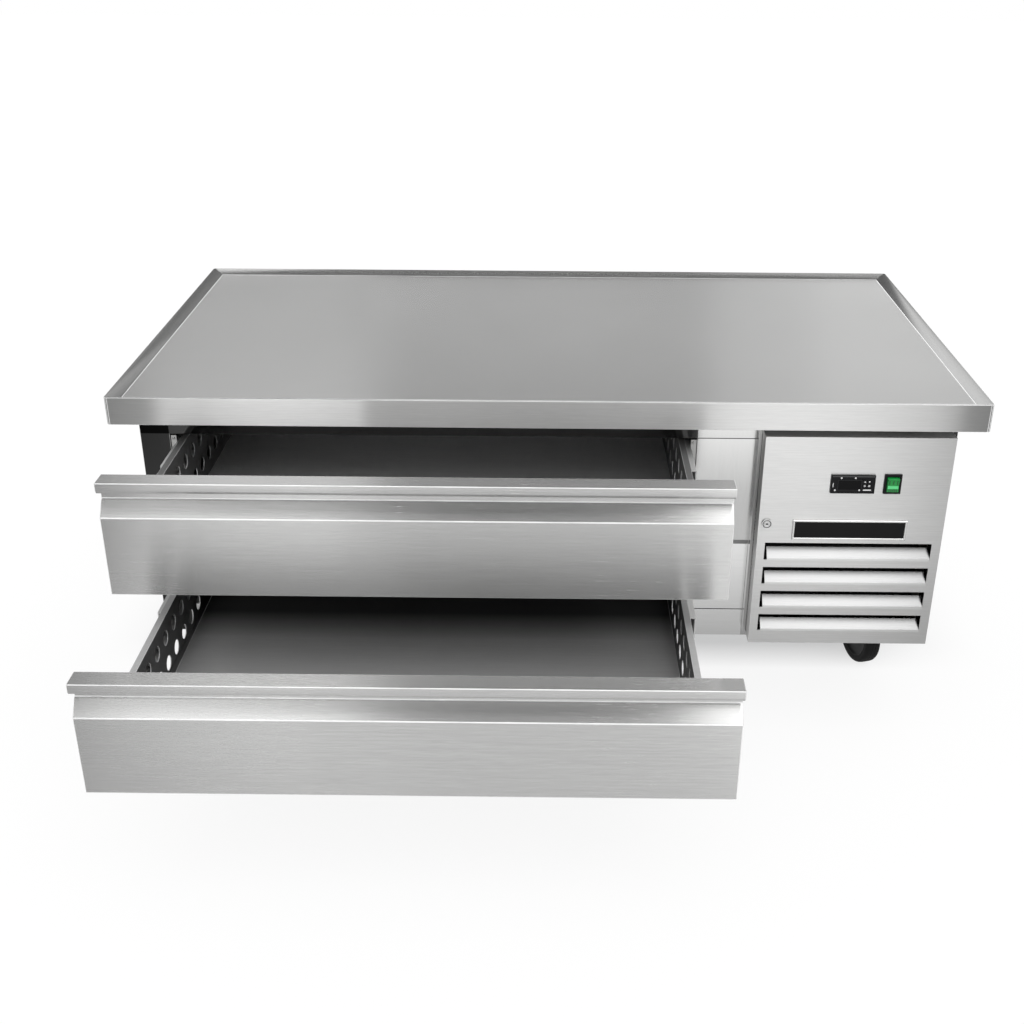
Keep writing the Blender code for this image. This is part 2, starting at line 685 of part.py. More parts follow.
def make_cabinet():
    """Side, back and base sheets, the foam body, its liner and the face frame."""
    inner_side = BODY_SIDE - SHEET
    for name, low_x in (("left_side_panel", -BODY_SIDE), ("right_side_panel", inner_side)):
        low = (low_x, FACE_BACK + GAP, BODY_BOTTOM)
        block(name, low, (low_x + SHEET, BODY_BACK, BODY_TOP), STAINLESS)

    back = block(
        "back_panel",
        (-inner_side + GAP, BODY_BACK - SHEET, BODY_BOTTOM),
        (inner_side - GAP, BODY_BACK, BODY_TOP),
        GALVANISED,
    )
    bm = bmesh.new()
    vent_x = (BAY_LEFT + BAY_RIGHT) / 2
    for i in range(VENT_COUNT):
        z = BODY_TOP - VENT_DROP - i * VENT_PITCH
        low = (vent_x - VENT_WIDTH / 2, BODY_BACK - SHEET - CUT_OVERRUN, z - VENT_HEIGHT)
        add_block(bm, low, (vent_x + VENT_WIDTH / 2, BODY_BACK + CUT_OVERRUN, z))
    cut(back, place("back_vents", mesh_of(bm, "back_vents"), None))

    inside_front = FACE_BACK + GAP
    inside_back = BODY_BACK - SHEET - GAP
    block(
        "base_pan",
        (-inner_side + GAP, inside_front, BODY_BOTTOM),
        (inner_side - GAP, inside_back, BODY_BOTTOM + SHEET),
        GALVANISED,
    )

    foam = block(
        "insulation",
        (-inner_side + GAP, inside_front, BASE_FLOOR),
        (DIVIDER_RIGHT, inside_back, BODY_TOP),
        FOAM,
    )
    cavity = block(
        "cold_cavity",
        (OPENING_LEFT - LINER_SHEET - GAP, inside_front - CUT_OVERRUN, LINER_FLOOR - LINER_SHEET - GAP),
        (CAVITY_RIGHT + LINER_SHEET + GAP, LINER_BACK + LINER_SHEET + GAP,
         LINER_CEILING + LINER_SHEET + GAP),
        None,
    )
    cut(foam, cavity)
    open_box(
        "inner_liner",
        (OPENING_LEFT - LINER_SHEET, inside_front, LINER_FLOOR - LINER_SHEET),
        (CAVITY_RIGHT + LINER_SHEET, LINER_BACK + LINER_SHEET, LINER_CEILING + LINER_SHEET),
        1, False, LINER_SHEET, STAINLESS_DARK,
    )

    frame_top = TOP_HEIGHT - FRAME_UNDER_TOP
    outline(
        "face_frame", "Y",
        [
            rectangle(BODY_BOTTOM, frame_top, -BODY_SIDE, BODY_SIDE),
            rectangle(UPPER_OPENING_BOTTOM, UPPER_OPENING_TOP, OPENING_LEFT, OPENING_RIGHT),
            rectangle(LOWER_OPENING_BOTTOM, LOWER_OPENING_TOP, OPENING_LEFT, OPENING_RIGHT),
            rectangle(BAY_BOTTOM, BAY_TOP, BAY_LEFT, BAY_RIGHT),
        ],
        FACE, FACE_BACK, STAINLESS,
    )


def hinge_stretches():
    """The heights of the hinge knuckles, from the bottom up: even ones belong to the panel."""
    low = PANEL_BOTTOM + HINGE_MARGIN
    step = (PANEL_HEIGHT - 2 * HINGE_MARGIN) / HINGE_KNUCKLES
    return [(low + i * step, low + (i + 1) * step - KNUCKLE_GAP) for i in range(HINGE_KNUCKLES)]


def knuckles(name, turn, tab_low_y, tab_high_y):
    """Every second knuckle of the panel hinge, each with the tab that carries it."""
    tabs = bmesh.new()
    barrels = bmesh.new()
    for low, high in hinge_stretches()[turn::2]:
        add_block(tabs, (PANEL_RIGHT - PANEL_SHEET, tab_low_y, low), (HINGE_X, tab_high_y, high))
        add_rod(barrels, "Z", (HINGE_X, HINGE_Y, low), high - low, KNUCKLE_RADIUS, SMALL_SIDES)
    return (
        place(name + "_tabs", mesh_of(tabs, name + "_tabs"), None),
        place(name + "_barrels", mesh_of(barrels, name + "_barrels"), None),
    )


def make_collar():
    """The raised collar that the access panel closes on, with the fixed half of its hinge."""
    outer_bottom = PANEL_BOTTOM + COLLAR_INSET
    outer_top = PANEL_TOP - COLLAR_INSET
    collar = outline(
        "machine_bay_collar", "Y",
        [
            rectangle(outer_bottom, outer_top, PANEL_LEFT - COLLAR_WIDTH, PANEL_RIGHT),
            rectangle(BAY_BOTTOM, BAY_TOP, BAY_LEFT, BAY_RIGHT),
        ],
        COLLAR_FRONT, FACE - GAP, STAINLESS_DARK,
    )
    tabs, barrels = knuckles("collar_knuckle", 1, HINGE_Y, COLLAR_FRONT + KNUCKLE_RADIUS)
    join(collar, tabs)
    join(collar, barrels)
    stretches = hinge_stretches()
    pin_low = stretches[0][0]
    pin_length = stretches[-1][1] - pin_low
    pin = rod("hinge_pin", "Z", (HINGE_X, HINGE_Y, pin_low), pin_length, HINGE_PIN_RADIUS, None, SMALL_SIDES)
    join(collar, pin)


def make_access_panel():
    """The hinged louvred panel: a folded tray with slots, vanes and the holes for what it carries."""
    origin = (HINGE_X, HINGE_Y, PANEL_BOTTOM)
    panel = open_box(
        "access_panel",
        (PANEL_LEFT, FRONT_PLANE, PANEL_BOTTOM), (PANEL_RIGHT, PANEL_REAR, PANEL_TOP),
        1, True, PANEL_SHEET, STAINLESS, origin,
    )
    through_low = FRONT_PLANE - CUT_OVERRUN
    through_high = FRONT_PLANE + CUT_OVERRUN
    slots = bmesh.new()
    vanes = bmesh.new()
    slot_left = PANEL_LEFT + LOUVRE_LEFT
    slot_right = slot_left + LOUVRE_WIDTH
    vane_length = math.hypot(VANE_RISE, VANE_LEAN)
    vane_turn = Matrix.Rotation(-math.atan2(VANE_LEAN, VANE_RISE), 4, "X")
    for i in range(LOUVRE_COUNT):
        top = PANEL_TOP - LOUVRE_FIRST_DROP - i * LOUVRE_PITCH
        bottom = top - LOUVRE_HEIGHT
        add_block(slots, (slot_left, through_low, bottom), (slot_right, through_high, top))
        made = add_block(
            vanes,
            (slot_left + VANE_SIDE_GAP, 0.0, 0.0),
            (slot_right - VANE_SIDE_GAP, VANE_SHEET, vane_length),
        )
        foot = Matrix.Translation((0.0, FRONT_PLANE + VANE_INSET, bottom - VANE_SINK))
        bmesh.ops.transform(vanes, matrix=foot @ vane_turn, verts=made)
    cut(panel, place("louvre_slots", mesh_of(slots, "louvre_slots"), None))
    join(panel, place("louvre_vanes", mesh_of(vanes, "louvre_vanes"), None))

    holes = bmesh.new()
    controller_low, controller_high = controller_body()
    add_block(
        holes,
        (controller_low[0] - CONTROLLER_FIT, through_low, controller_low[1] - CONTROLLER_FIT),
        (controller_high[0] + CONTROLLER_FIT, through_high, controller_high[1] + CONTROLLER_FIT),
    )
    switch_low, switch_high = switch_body()
    add_block(
        holes,
        (switch_low[0] - CONTROLLER_FIT, through_low, switch_low[1] - CONTROLLER_FIT),
        (switch_high[0] + CONTROLLER_FIT, through_high, switch_high[1] + CONTROLLER_FIT),
    )
    hole_radius = LOCK_BARREL_RADIUS + CONTROLLER_FIT
    add_rod(holes, "Y", (LOCK_X, through_low, LOCK_Z), 2 * CUT_OVERRUN, hole_radius, ROUND_SIDES)
    cut(panel, place("panel_holes", mesh_of(holes, "panel_holes"), None))

    tabs, barrels = knuckles("panel_knuckle", 0, PANEL_REAR - KNUCKLE_RADIUS, HINGE_Y)
    join(panel, tabs)
    join(panel, barrels)
    bore_low = PANEL_BOTTOM
    bore = rod("hinge_bore", "Z", (HINGE_X, HINGE_Y, bore_low), PANEL_HEIGHT, HINGE_BORE_RADIUS, None, SMALL_SIDES)
    cut(panel, bore)


def controller_body():
    """The (x, z) corners of the controller's body behind its bezel."""
    centre_x = PANEL_LEFT + CONTROLLER_FROM_LEFT + CONTROLLER_WIDTH / 2
    centre_z = PANEL_TOP - CONTROLLER_DROP - CONTROLLER_HEIGHT / 2
    half_x = CONTROLLER_BODY_WIDTH / 2
    half_z = CONTROLLER_BODY_HEIGHT / 2
    return (centre_x - half_x, centre_z - half_z), (centre_x + half_x, centre_z + half_z)


def switch_body():
    """The (x, z) corners of the switch's body behind its bezel."""
    centre_x = PANEL_LEFT + SWITCH_FROM_LEFT + SWITCH_WIDTH / 2
    centre_z = PANEL_TOP - SWITCH_DROP - SWITCH_HEIGHT / 2
    half_x = SWITCH_BODY_WIDTH / 2
    half_z = SWITCH_BODY_HEIGHT / 2
    return (centre_x - half_x, centre_z - half_z), (centre_x + half_x, centre_z + half_z)


def make_controller():
    """The controller's housing, its display window and four keys."""
    left = PANEL_LEFT + CONTROLLER_FROM_LEFT
    top = PANEL_TOP - CONTROLLER_DROP
    bezel_front = FRONT_PLANE - CONTROLLER_PROUD
    bezel_back = FRONT_PLANE - GAP
    housing = block(
        "controller_housing",
        (left, bezel_front, top - CONTROLLER_HEIGHT),
        (left + CONTROLLER_WIDTH, bezel_back, top),
        BLACK_PLASTIC,
    )
    low, high = controller_body()
    body = block(
        "controller_body",
        (low[0], bezel_back - CONTROLLER_PROUD / 2, low[1]),
        (high[0], bezel_back + CONTROLLER_BODY_DEPTH, high[1]),
        None,
    )
    join(housing, body)

    pockets = bmesh.new()
    window_left = left + WINDOW_LEFT
    window_top = top - WINDOW_DROP
    lens_back = bezel_front + LENS_THICKNESS
    add_block(
        pockets,
        (window_left - GAP, bezel_front - CUT_OVERRUN, window_top - WINDOW_HEIGHT - GAP),
        (window_left + WINDOW_WIDTH + GAP, lens_back + GAP, window_top + GAP),
    )
    key_names = ("key_up", "key_down", "key_defrost", "key_set")
    half = KEY_SIZE / 2
    reach = half + KEY_FIT
    for i, name in enumerate(key_names):
        x = left + KEY_FIRST_LEFT + (i % 2) * KEY_PITCH
        z = top - KEY_FIRST_DROP - (i // 2) * KEY_PITCH
        add_block(
            pockets,
            (x - reach, bezel_front - CUT_OVERRUN, z - reach),
            (x + reach, bezel_front + KEY_POCKET, z + reach),
        )
        key_front = bezel_front - KEY_PROUD
        block(
            name,
            (x - half, key_front, z - half),
            (x + half, key_front + KEY_LENGTH, z + half),
            GREY_KEY, (x, key_front, z),
        )
    cut(housing, place("controller_pockets", mesh_of(pockets, "controller_pockets"), None))
    block(
        "display_lens",
        (window_left, bezel_front, window_top - WINDOW_HEIGHT),
        (window_left + WINDOW_WIDTH, lens_back, window_top),
        DARK_WINDOW,
    )


def make_switch():
    """The power switch: a bezel and body with a well, and the rocker that tilts in it."""
    left = PANEL_LEFT + SWITCH_FROM_LEFT
    top = PANEL_TOP - SWITCH_DROP
    bezel_front = FRONT_PLANE - SWITCH_BEZEL
    bezel_back = FRONT_PLANE - GAP
    housing = block(
        "switch_housing",
        (left, bezel_front, top - SWITCH_HEIGHT), (left + SWITCH_WIDTH, bezel_back, top),
        BLACK_PLASTIC,
    )
    low, high = switch_body()
    body = block(
        "switch_body",
        (low[0], bezel_back - SWITCH_BEZEL / 2, low[1]),
        (high[0], bezel_back + SWITCH_BODY_DEPTH, high[1]),
        None,
    )
    join(housing, body)
    centre_x = (low[0] + high[0]) / 2
    centre_z = (low[1] + high[1]) / 2
    well = block(
        "switch_well",
        (centre_x - SWITCH_WELL_WIDTH / 2, bezel_front - CUT_OVERRUN, centre_z - SWITCH_WELL_HEIGHT / 2),
        (centre_x + SWITCH_WELL_WIDTH / 2, bezel_front + SWITCH_WELL_DEPTH, centre_z + SWITCH_WELL_HEIGHT / 2),
        None,
    )
    cut(housing, well)

    pivot = (centre_x, bezel_front + ROCKER_PIVOT_DEPTH, centre_z)
    half = ROCKER_HEIGHT / 2
    tip = -ROCKER_PROUD - ROCKER_PIVOT_DEPTH
    points = [
        (tip, half), (tip + ROCKER_DISH, 0.0), (tip, -half),
        (ROCKER_SKIRT - ROCKER_PIVOT_DEPTH, -half), (ROCKER_SKIRT, 0.0),
        (ROCKER_SKIRT - ROCKER_PIVOT_DEPTH, half),
    ]
    half_width = ROCKER_WIDTH / 2
    rocker = outline("switch_rocker", "X", [points], -half_width, half_width, GREEN_PLASTIC)
    rocker.data.transform(Matrix.Rotation(ROCKER_TILT, 4, "X"))
    rocker.location = pivot


def make_nameplate():
    """A blank plate with a thin raised border, where the real one carries a name."""
    left = PANEL_LEFT + PLATE_FROM_LEFT
    top = PANEL_TOP - PLATE_DROP
    front = FRONT_PLANE - GAP - PLATE_THICKNESS
    bm = bmesh.new()
    add_block(bm, (left, front, top - PLATE_HEIGHT), (left + PLATE_WIDTH, FRONT_PLANE - GAP, top))
    face = [f for f in bm.faces if f.normal.y < -FACING]
    bmesh.ops.inset_region(bm, faces=face, thickness=PLATE_BORDER)
    bmesh.ops.inset_region(bm, faces=face, thickness=PLATE_RECESS)
    for vertex in face[0].verts:
        vertex.co.y += PLATE_RECESS
    place("nameplate", mesh_of(bm, "nameplate"), BLACK_PLASTIC)


def make_lock():
    """The panel's cam lock: the barrel stays in the panel, and the plug with its cam turns."""
    head_front = FRONT_PLANE - LOCK_HEAD_THICKNESS
    frame_clear = FACE_BACK + CAM_BEHIND_FRAME
    cam_back = frame_clear + CAM_THICKNESS
    barrel_back = frame_clear - GAP
    barrel = rod(
        "lock_barrel", "Y", (LOCK_X, head_front, LOCK_Z), LOCK_HEAD_THICKNESS - GAP,
        LOCK_HEAD_RADIUS, ZINC, ROUND_SIDES,
    )
    shank_start = head_front + LOCK_HEAD_THICKNESS / 2
    shank = rod(
        "lock_shank", "Y", (LOCK_X, shank_start, LOCK_Z), barrel_back - shank_start,
        LOCK_BARREL_RADIUS, None, ROUND_SIDES,
    )
    join(barrel, shank)
    bore_start = head_front - CUT_OVERRUN
    bore_radius = LOCK_PLUG_RADIUS + LOCK_PLUG_CLEARANCE
    bore_length = barrel_back + CUT_OVERRUN - bore_start
    cut(barrel, rod("lock_bore", "Y", (LOCK_X, bore_start, LOCK_Z), bore_length, bore_radius, None, SMALL_SIDES))

    origin = (LOCK_X, head_front, LOCK_Z)
    plug = rod(
        "lock_plug_and_cam", "Y", (LOCK_X, head_front, LOCK_Z), cam_back - head_front,
        LOCK_PLUG_RADIUS, ZINC, SMALL_SIDES, origin,
    )
    cam = block(
        "lock_cam",
        (LOCK_X - CAM_WIDTH / 2, frame_clear, LOCK_Z - CAM_LENGTH),
        (LOCK_X + CAM_WIDTH / 2, cam_back, LOCK_Z + CAM_WIDTH / 2),
        None,
    )
    join(plug, cam)
    slot = block(
        "key_slot",
        (LOCK_X - KEY_SLOT_LENGTH / 2, head_front - CUT_OVERRUN, LOCK_Z - KEY_SLOT_WIDTH / 2),
        (LOCK_X + KEY_SLOT_LENGTH / 2, head_front + KEY_SLOT_DEPTH, LOCK_Z + KEY_SLOT_WIDTH / 2),
        None,
    )
    cut(plug, slot)


def front_profile(face_y, top_z):
    """The section of a drawer front: handle, rounded lip, finger groove, slope and flat face."""
    ridge = -RIDGE_PROUD
    arc_y = ridge + LIP_RADIUS
    arc_z = -LIP_HEIGHT + LIP_RADIUS
    lip = []
    for i in range(LIP_STEPS + 1):
        angle = math.pi + (math.pi / 2) * i / LIP_STEPS
        lip.append((arc_y + LIP_RADIUS * math.cos(angle), arc_z + LIP_RADIUS * math.sin(angle)))
    section = [
        (ridge + HANDLE_DEPTH, 0.0),
        (ridge, 0.0),
        *lip,
        (GRIP_DEPTH, -LIP_HEIGHT),
        (GRIP_DEPTH, -GRIP_BOTTOM),
        (SLOPE_DEPTH, -SLOPE_TOP),
        (0.0, -BEND_DROP),
        (0.0, -FRONT_HEIGHT),
        (FRONT_THICKNESS, -FRONT_HEIGHT),
        (FRONT_THICKNESS, -BACK_STEP),
        (ridge + HANDLE_DEPTH, -BACK_STEP),
    ]
    return [(face_y + y, top_z + z) for y, z in section]


def make_drawer(prefix, top_z, opened):
    """One drawer: its front, inner panel, gasket, perforated box and both three-piece slides."""
    face_y = FRONT_PLANE - opened
    origin = (OPENING_CENTRE_X, face_y, top_z)
    section = front_profile(face_y, top_z)
    outline(prefix + "_drawer_front", "X", [section], FRONT_LEFT, FRONT_RIGHT, STAINLESS, origin)

    seat = face_y + FRONT_THICKNESS + GAP
    inner_top = top_z - BACK_STEP - INNER_PANEL_TOP_DROP
    inner_bottom = top_z - FRONT_HEIGHT + GASKET_BOTTOM_MARGIN
    inner_left = FRONT_LEFT + INNER_PANEL_MARGIN
    inner_right = FRONT_RIGHT - INNER_PANEL_MARGIN
    panel_back = seat + INNER_PANEL_SHEET
    block(
        prefix + "_drawer_inner_panel",
        (inner_left, seat, inner_bottom), (inner_right, panel_back, inner_top),
        STAINLESS_DARK, origin,
    )
    gasket_front = panel_back + GAP
    outline(
        prefix + "_drawer_gasket", "Y",
        [
            rectangle(inner_bottom, inner_top, inner_left, inner_right),
            rectangle(
                inner_bottom + GASKET_WIDTH, inner_top - GASKET_WIDTH,
                inner_left + GASKET_WIDTH, inner_right - GASKET_WIDTH,
            ),
        ],
        gasket_front, gasket_front + GASKET_THICKNESS, GREY_GASKET, origin,
    )

    box_half = BOX_INNER_WIDTH / 2 + BOX_SHEET
    box_top = top_z - BOX_TOP_DROP
    box_floor = top_z - BOX_FLOOR_DROP
    bm = bmesh.new()
    low = (OPENING_CENTRE_X - box_half, gasket_front, box_floor)
    add_block(bm, low, (OPENING_CENTRE_X + box_half, gasket_front + BOX_LENGTH, box_top))
    roof = [face for face in bm.faces if face.normal.z > FACING]
    bmesh.ops.delete(bm, geom=roof, context="FACES")
    sides = [
        edge for edge in bm.edges
        if edge.is_boundary and abs(edge.verts[0].co.x - edge.verts[1].co.x) < GAP
    ]
    grown = bmesh.ops.extrude_edge_only(bm, edges=sides)["geom"]
    for vertex in [item for item in grown if isinstance(item, bmesh.types.BMVert)]:
        vertex.co.x += math.copysign(BOX_FLANGE, vertex.co.x - OPENING_CENTRE_X)
    turn_outward(bm, False)
    box = place(prefix + "_drawer_box", mesh_of(bm, prefix + "_drawer_box"), STAINLESS_DARK, origin)
    solidify(box, BOX_SHEET)
    drill = bmesh.new()
    reach = 2 * (box_half + CUT_OVERRUN)
    for row in range(2):
        z = box_top - HOLE_ROW_DROP - row * HOLE_ROW_PITCH
        for i in range(HOLE_COUNT):
            y = gasket_front + HOLE_FIRST + i * HOLE_PITCH
            start = (OPENING_CENTRE_X - reach / 2, y, z)
            add_rod(drill, "X", start, reach, HOLE_DIAMETER / 2, HOLE_SIDES)
    cut(box, place(prefix + "_box_holes", mesh_of(drill, prefix + "_box_holes"), None))

    member = (SLIDE_ROOM - 4 * SLIDE_CLEARANCE) / 3
    slide_top = top_z - SLIDE_DROP
    closed_front = FACE_BACK + SLIDE_FRONT_SETBACK
    stages = (
        ("outer", 0.0, 0),
        ("middle", opened / 2, 1),
        ("inner", opened, 2),
    )
    for side, sign in (("left", -1.0), ("right", 1.0)):
        for stage, forward, place_in in stages:
            far = OPENING_WIDTH / 2 - SLIDE_CLEARANCE - place_in * (member + SLIDE_CLEARANCE)
            web = OPENING_CENTRE_X + sign * far
            lip = OPENING_CENTRE_X + sign * (far - member)
            front = closed_front - forward
            slide_channel(
                prefix + "_" + stage + "_slide_" + side,
                web, lip, slide_top, front, (web, front, slide_top),
            )


def slide_channel(name, web_x, lip_x, top_z, front_y, origin):
    """One member of a slide: a C channel with its web at web_x and its lips towards lip_x."""
    inward = math.copysign(SLIDE_WEB, lip_x - web_x)
    bottom = top_z - SLIDE_HEIGHT
    points = [
        (bottom, web_x), (top_z, web_x), (top_z, lip_x), (top_z - SLIDE_WEB, lip_x),
        (top_z - SLIDE_WEB, web_x + inward), (bottom + SLIDE_WEB, web_x + inward),
        (bottom + SLIDE_WEB, lip_x), (bottom, lip_x),
    ]
    outline(name, "Y", [points], front_y, front_y + SLIDE_LENGTH, ZINC, origin)


def comb(length_low, length_high, depth_low, depth_high, fins):
    """A finned outline: teeth along both long sides of a core."""
    pitch = (length_high - length_low) / fins
    tooth = pitch * FIN_FILL_SHARE
    lower = []
    upper = []
    for i in range(fins):
        start = length_low + i * pitch
        stop = start + tooth
        lower += [(start, depth_low), (stop, depth_low), (stop, depth_low + FIN_DEPTH)]
        upper += [(start, depth_high), (stop, depth_high), (stop, depth_high - FIN_DEPTH)]
        if i < fins - 1:
            following = start + pitch
            lower.append((following, depth_low + FIN_DEPTH))
            upper.append((following, depth_high - FIN_DEPTH))
    return lower[:-1] + upper[:-1][::-1]


def make_fan(name, axis, centre, radius, hub_radius, hub_length, chord, material):
    """A fan: a bored hub with twisted blades, its origin on its axis."""
    start = Vector(centre) - AXIS_TURNS[axis] @ Vector((0.0, 0.0, hub_length / 2))
    fan = rod(name, axis, start, hub_length, hub_radius, material, ROUND_SIDES, centre)
    blades = bmesh.new()
    root = hub_radius * FAN_BLADE_ROOT_SHARE
    for i in range(FAN_BLADES):
        made = add_block(
            blades,
            (root, -chord / 2, -FAN_BLADE_THICKNESS / 2),
            (radius, chord / 2, FAN_BLADE_THICKNESS / 2),
        )
        lean = Matrix.Rotation(FAN_BLADE_PITCH, 4, "X")
        about = Matrix.Rotation(2 * math.pi * i / FAN_BLADES, 4, "Z")
        where = Matrix.Translation(centre) @ AXIS_TURNS[axis] @ about @ lean
        bmesh.ops.transform(blades, matrix=where, verts=made)
    join(fan, place(name + "_blades", mesh_of(blades, name + "_blades"), None))
    bore_length = hub_length + 2 * CUT_OVERRUN
    bore_start = Vector(centre) - AXIS_TURNS[axis] @ Vector((0.0, 0.0, bore_length / 2))
    bore_radius = FAN_SHAFT_RADIUS + FAN_BORE_CLEARANCE
    cut(fan, rod(name + "_bore", axis, bore_start, bore_length, bore_radius, None, SMALL_SIDES))


def make_evaporator():
    """The evaporator column on the right of the drawers: coil, shroud wall, fan and motor."""
    wall = EVAPORATOR_WALL
    wall_back = wall + EVAPORATOR_SHEET
    low_z = LINER_FLOOR + GAP
    high_z = LINER_CEILING - GAP
    shroud = block(
        "evaporator_shroud",
        (wall, FACE_BACK + GAP, low_z), (wall_back, LINER_BACK - GAP, high_z),
        STAINLESS_DARK,
    )
    hole_radius = EVAPORATOR_FAN_RADIUS + EVAPORATOR_FAN_HOLE_CLEARANCE
    hole_start = (wall - CUT_OVERRUN, EVAPORATOR_FAN_Y, EVAPORATOR_FAN_Z)
    hole_length = EVAPORATOR_SHEET + 2 * CUT_OVERRUN
    cut(shroud, rod("evaporator_fan_hole", "X", hole_start, hole_length, hole_radius, None))

    motor_left = CAVITY_RIGHT - GAP - EVAPORATOR_MOTOR_LENGTH
    motor = rod(
        "evaporator_fan_motor", "X", (motor_left, EVAPORATOR_FAN_Y, EVAPORATOR_FAN_Z),
        EVAPORATOR_MOTOR_LENGTH, EVAPORATOR_MOTOR_RADIUS, BLACK_STEEL,
    )
    fan_x = (wall_back + motor_left) / 2
    shaft_left = fan_x - EVAPORATOR_HUB_LENGTH / 2
    shaft_length = motor_left + EVAPORATOR_MOTOR_LENGTH / 2 - shaft_left
    join(motor, rod(
        "evaporator_shaft", "X", (shaft_left, EVAPORATOR_FAN_Y, EVAPORATOR_FAN_Z),
        shaft_length, FAN_SHAFT_RADIUS, None, SMALL_SIDES,
    ))
    make_fan(
        "evaporator_fan", "X", (fan_x, EVAPORATOR_FAN_Y, EVAPORATOR_FAN_Z), EVAPORATOR_FAN_RADIUS,
        EVAPORATOR_HUB_RADIUS, EVAPORATOR_HUB_LENGTH, EVAPORATOR_BLADE_CHORD, ALUMINIUM,
    )

    coil_front = FACE + EVAPORATOR_COIL_SETBACK
    coil_back = coil_front + EVAPORATOR_COIL_LENGTH
    coil_right = CAVITY_RIGHT - GAP
    coil_left = coil_right - EVAPORATOR_COIL_THICKNESS
    teeth = comb(coil_front, coil_back, coil_left, coil_right, EVAPORATOR_FINS)
    outline(
        "evaporator_coil", "Z", [[(x, y) for y, x in teeth]],
        low_z, high_z - EVAPORATOR_COIL_ROOM, ALUMINIUM,
    )


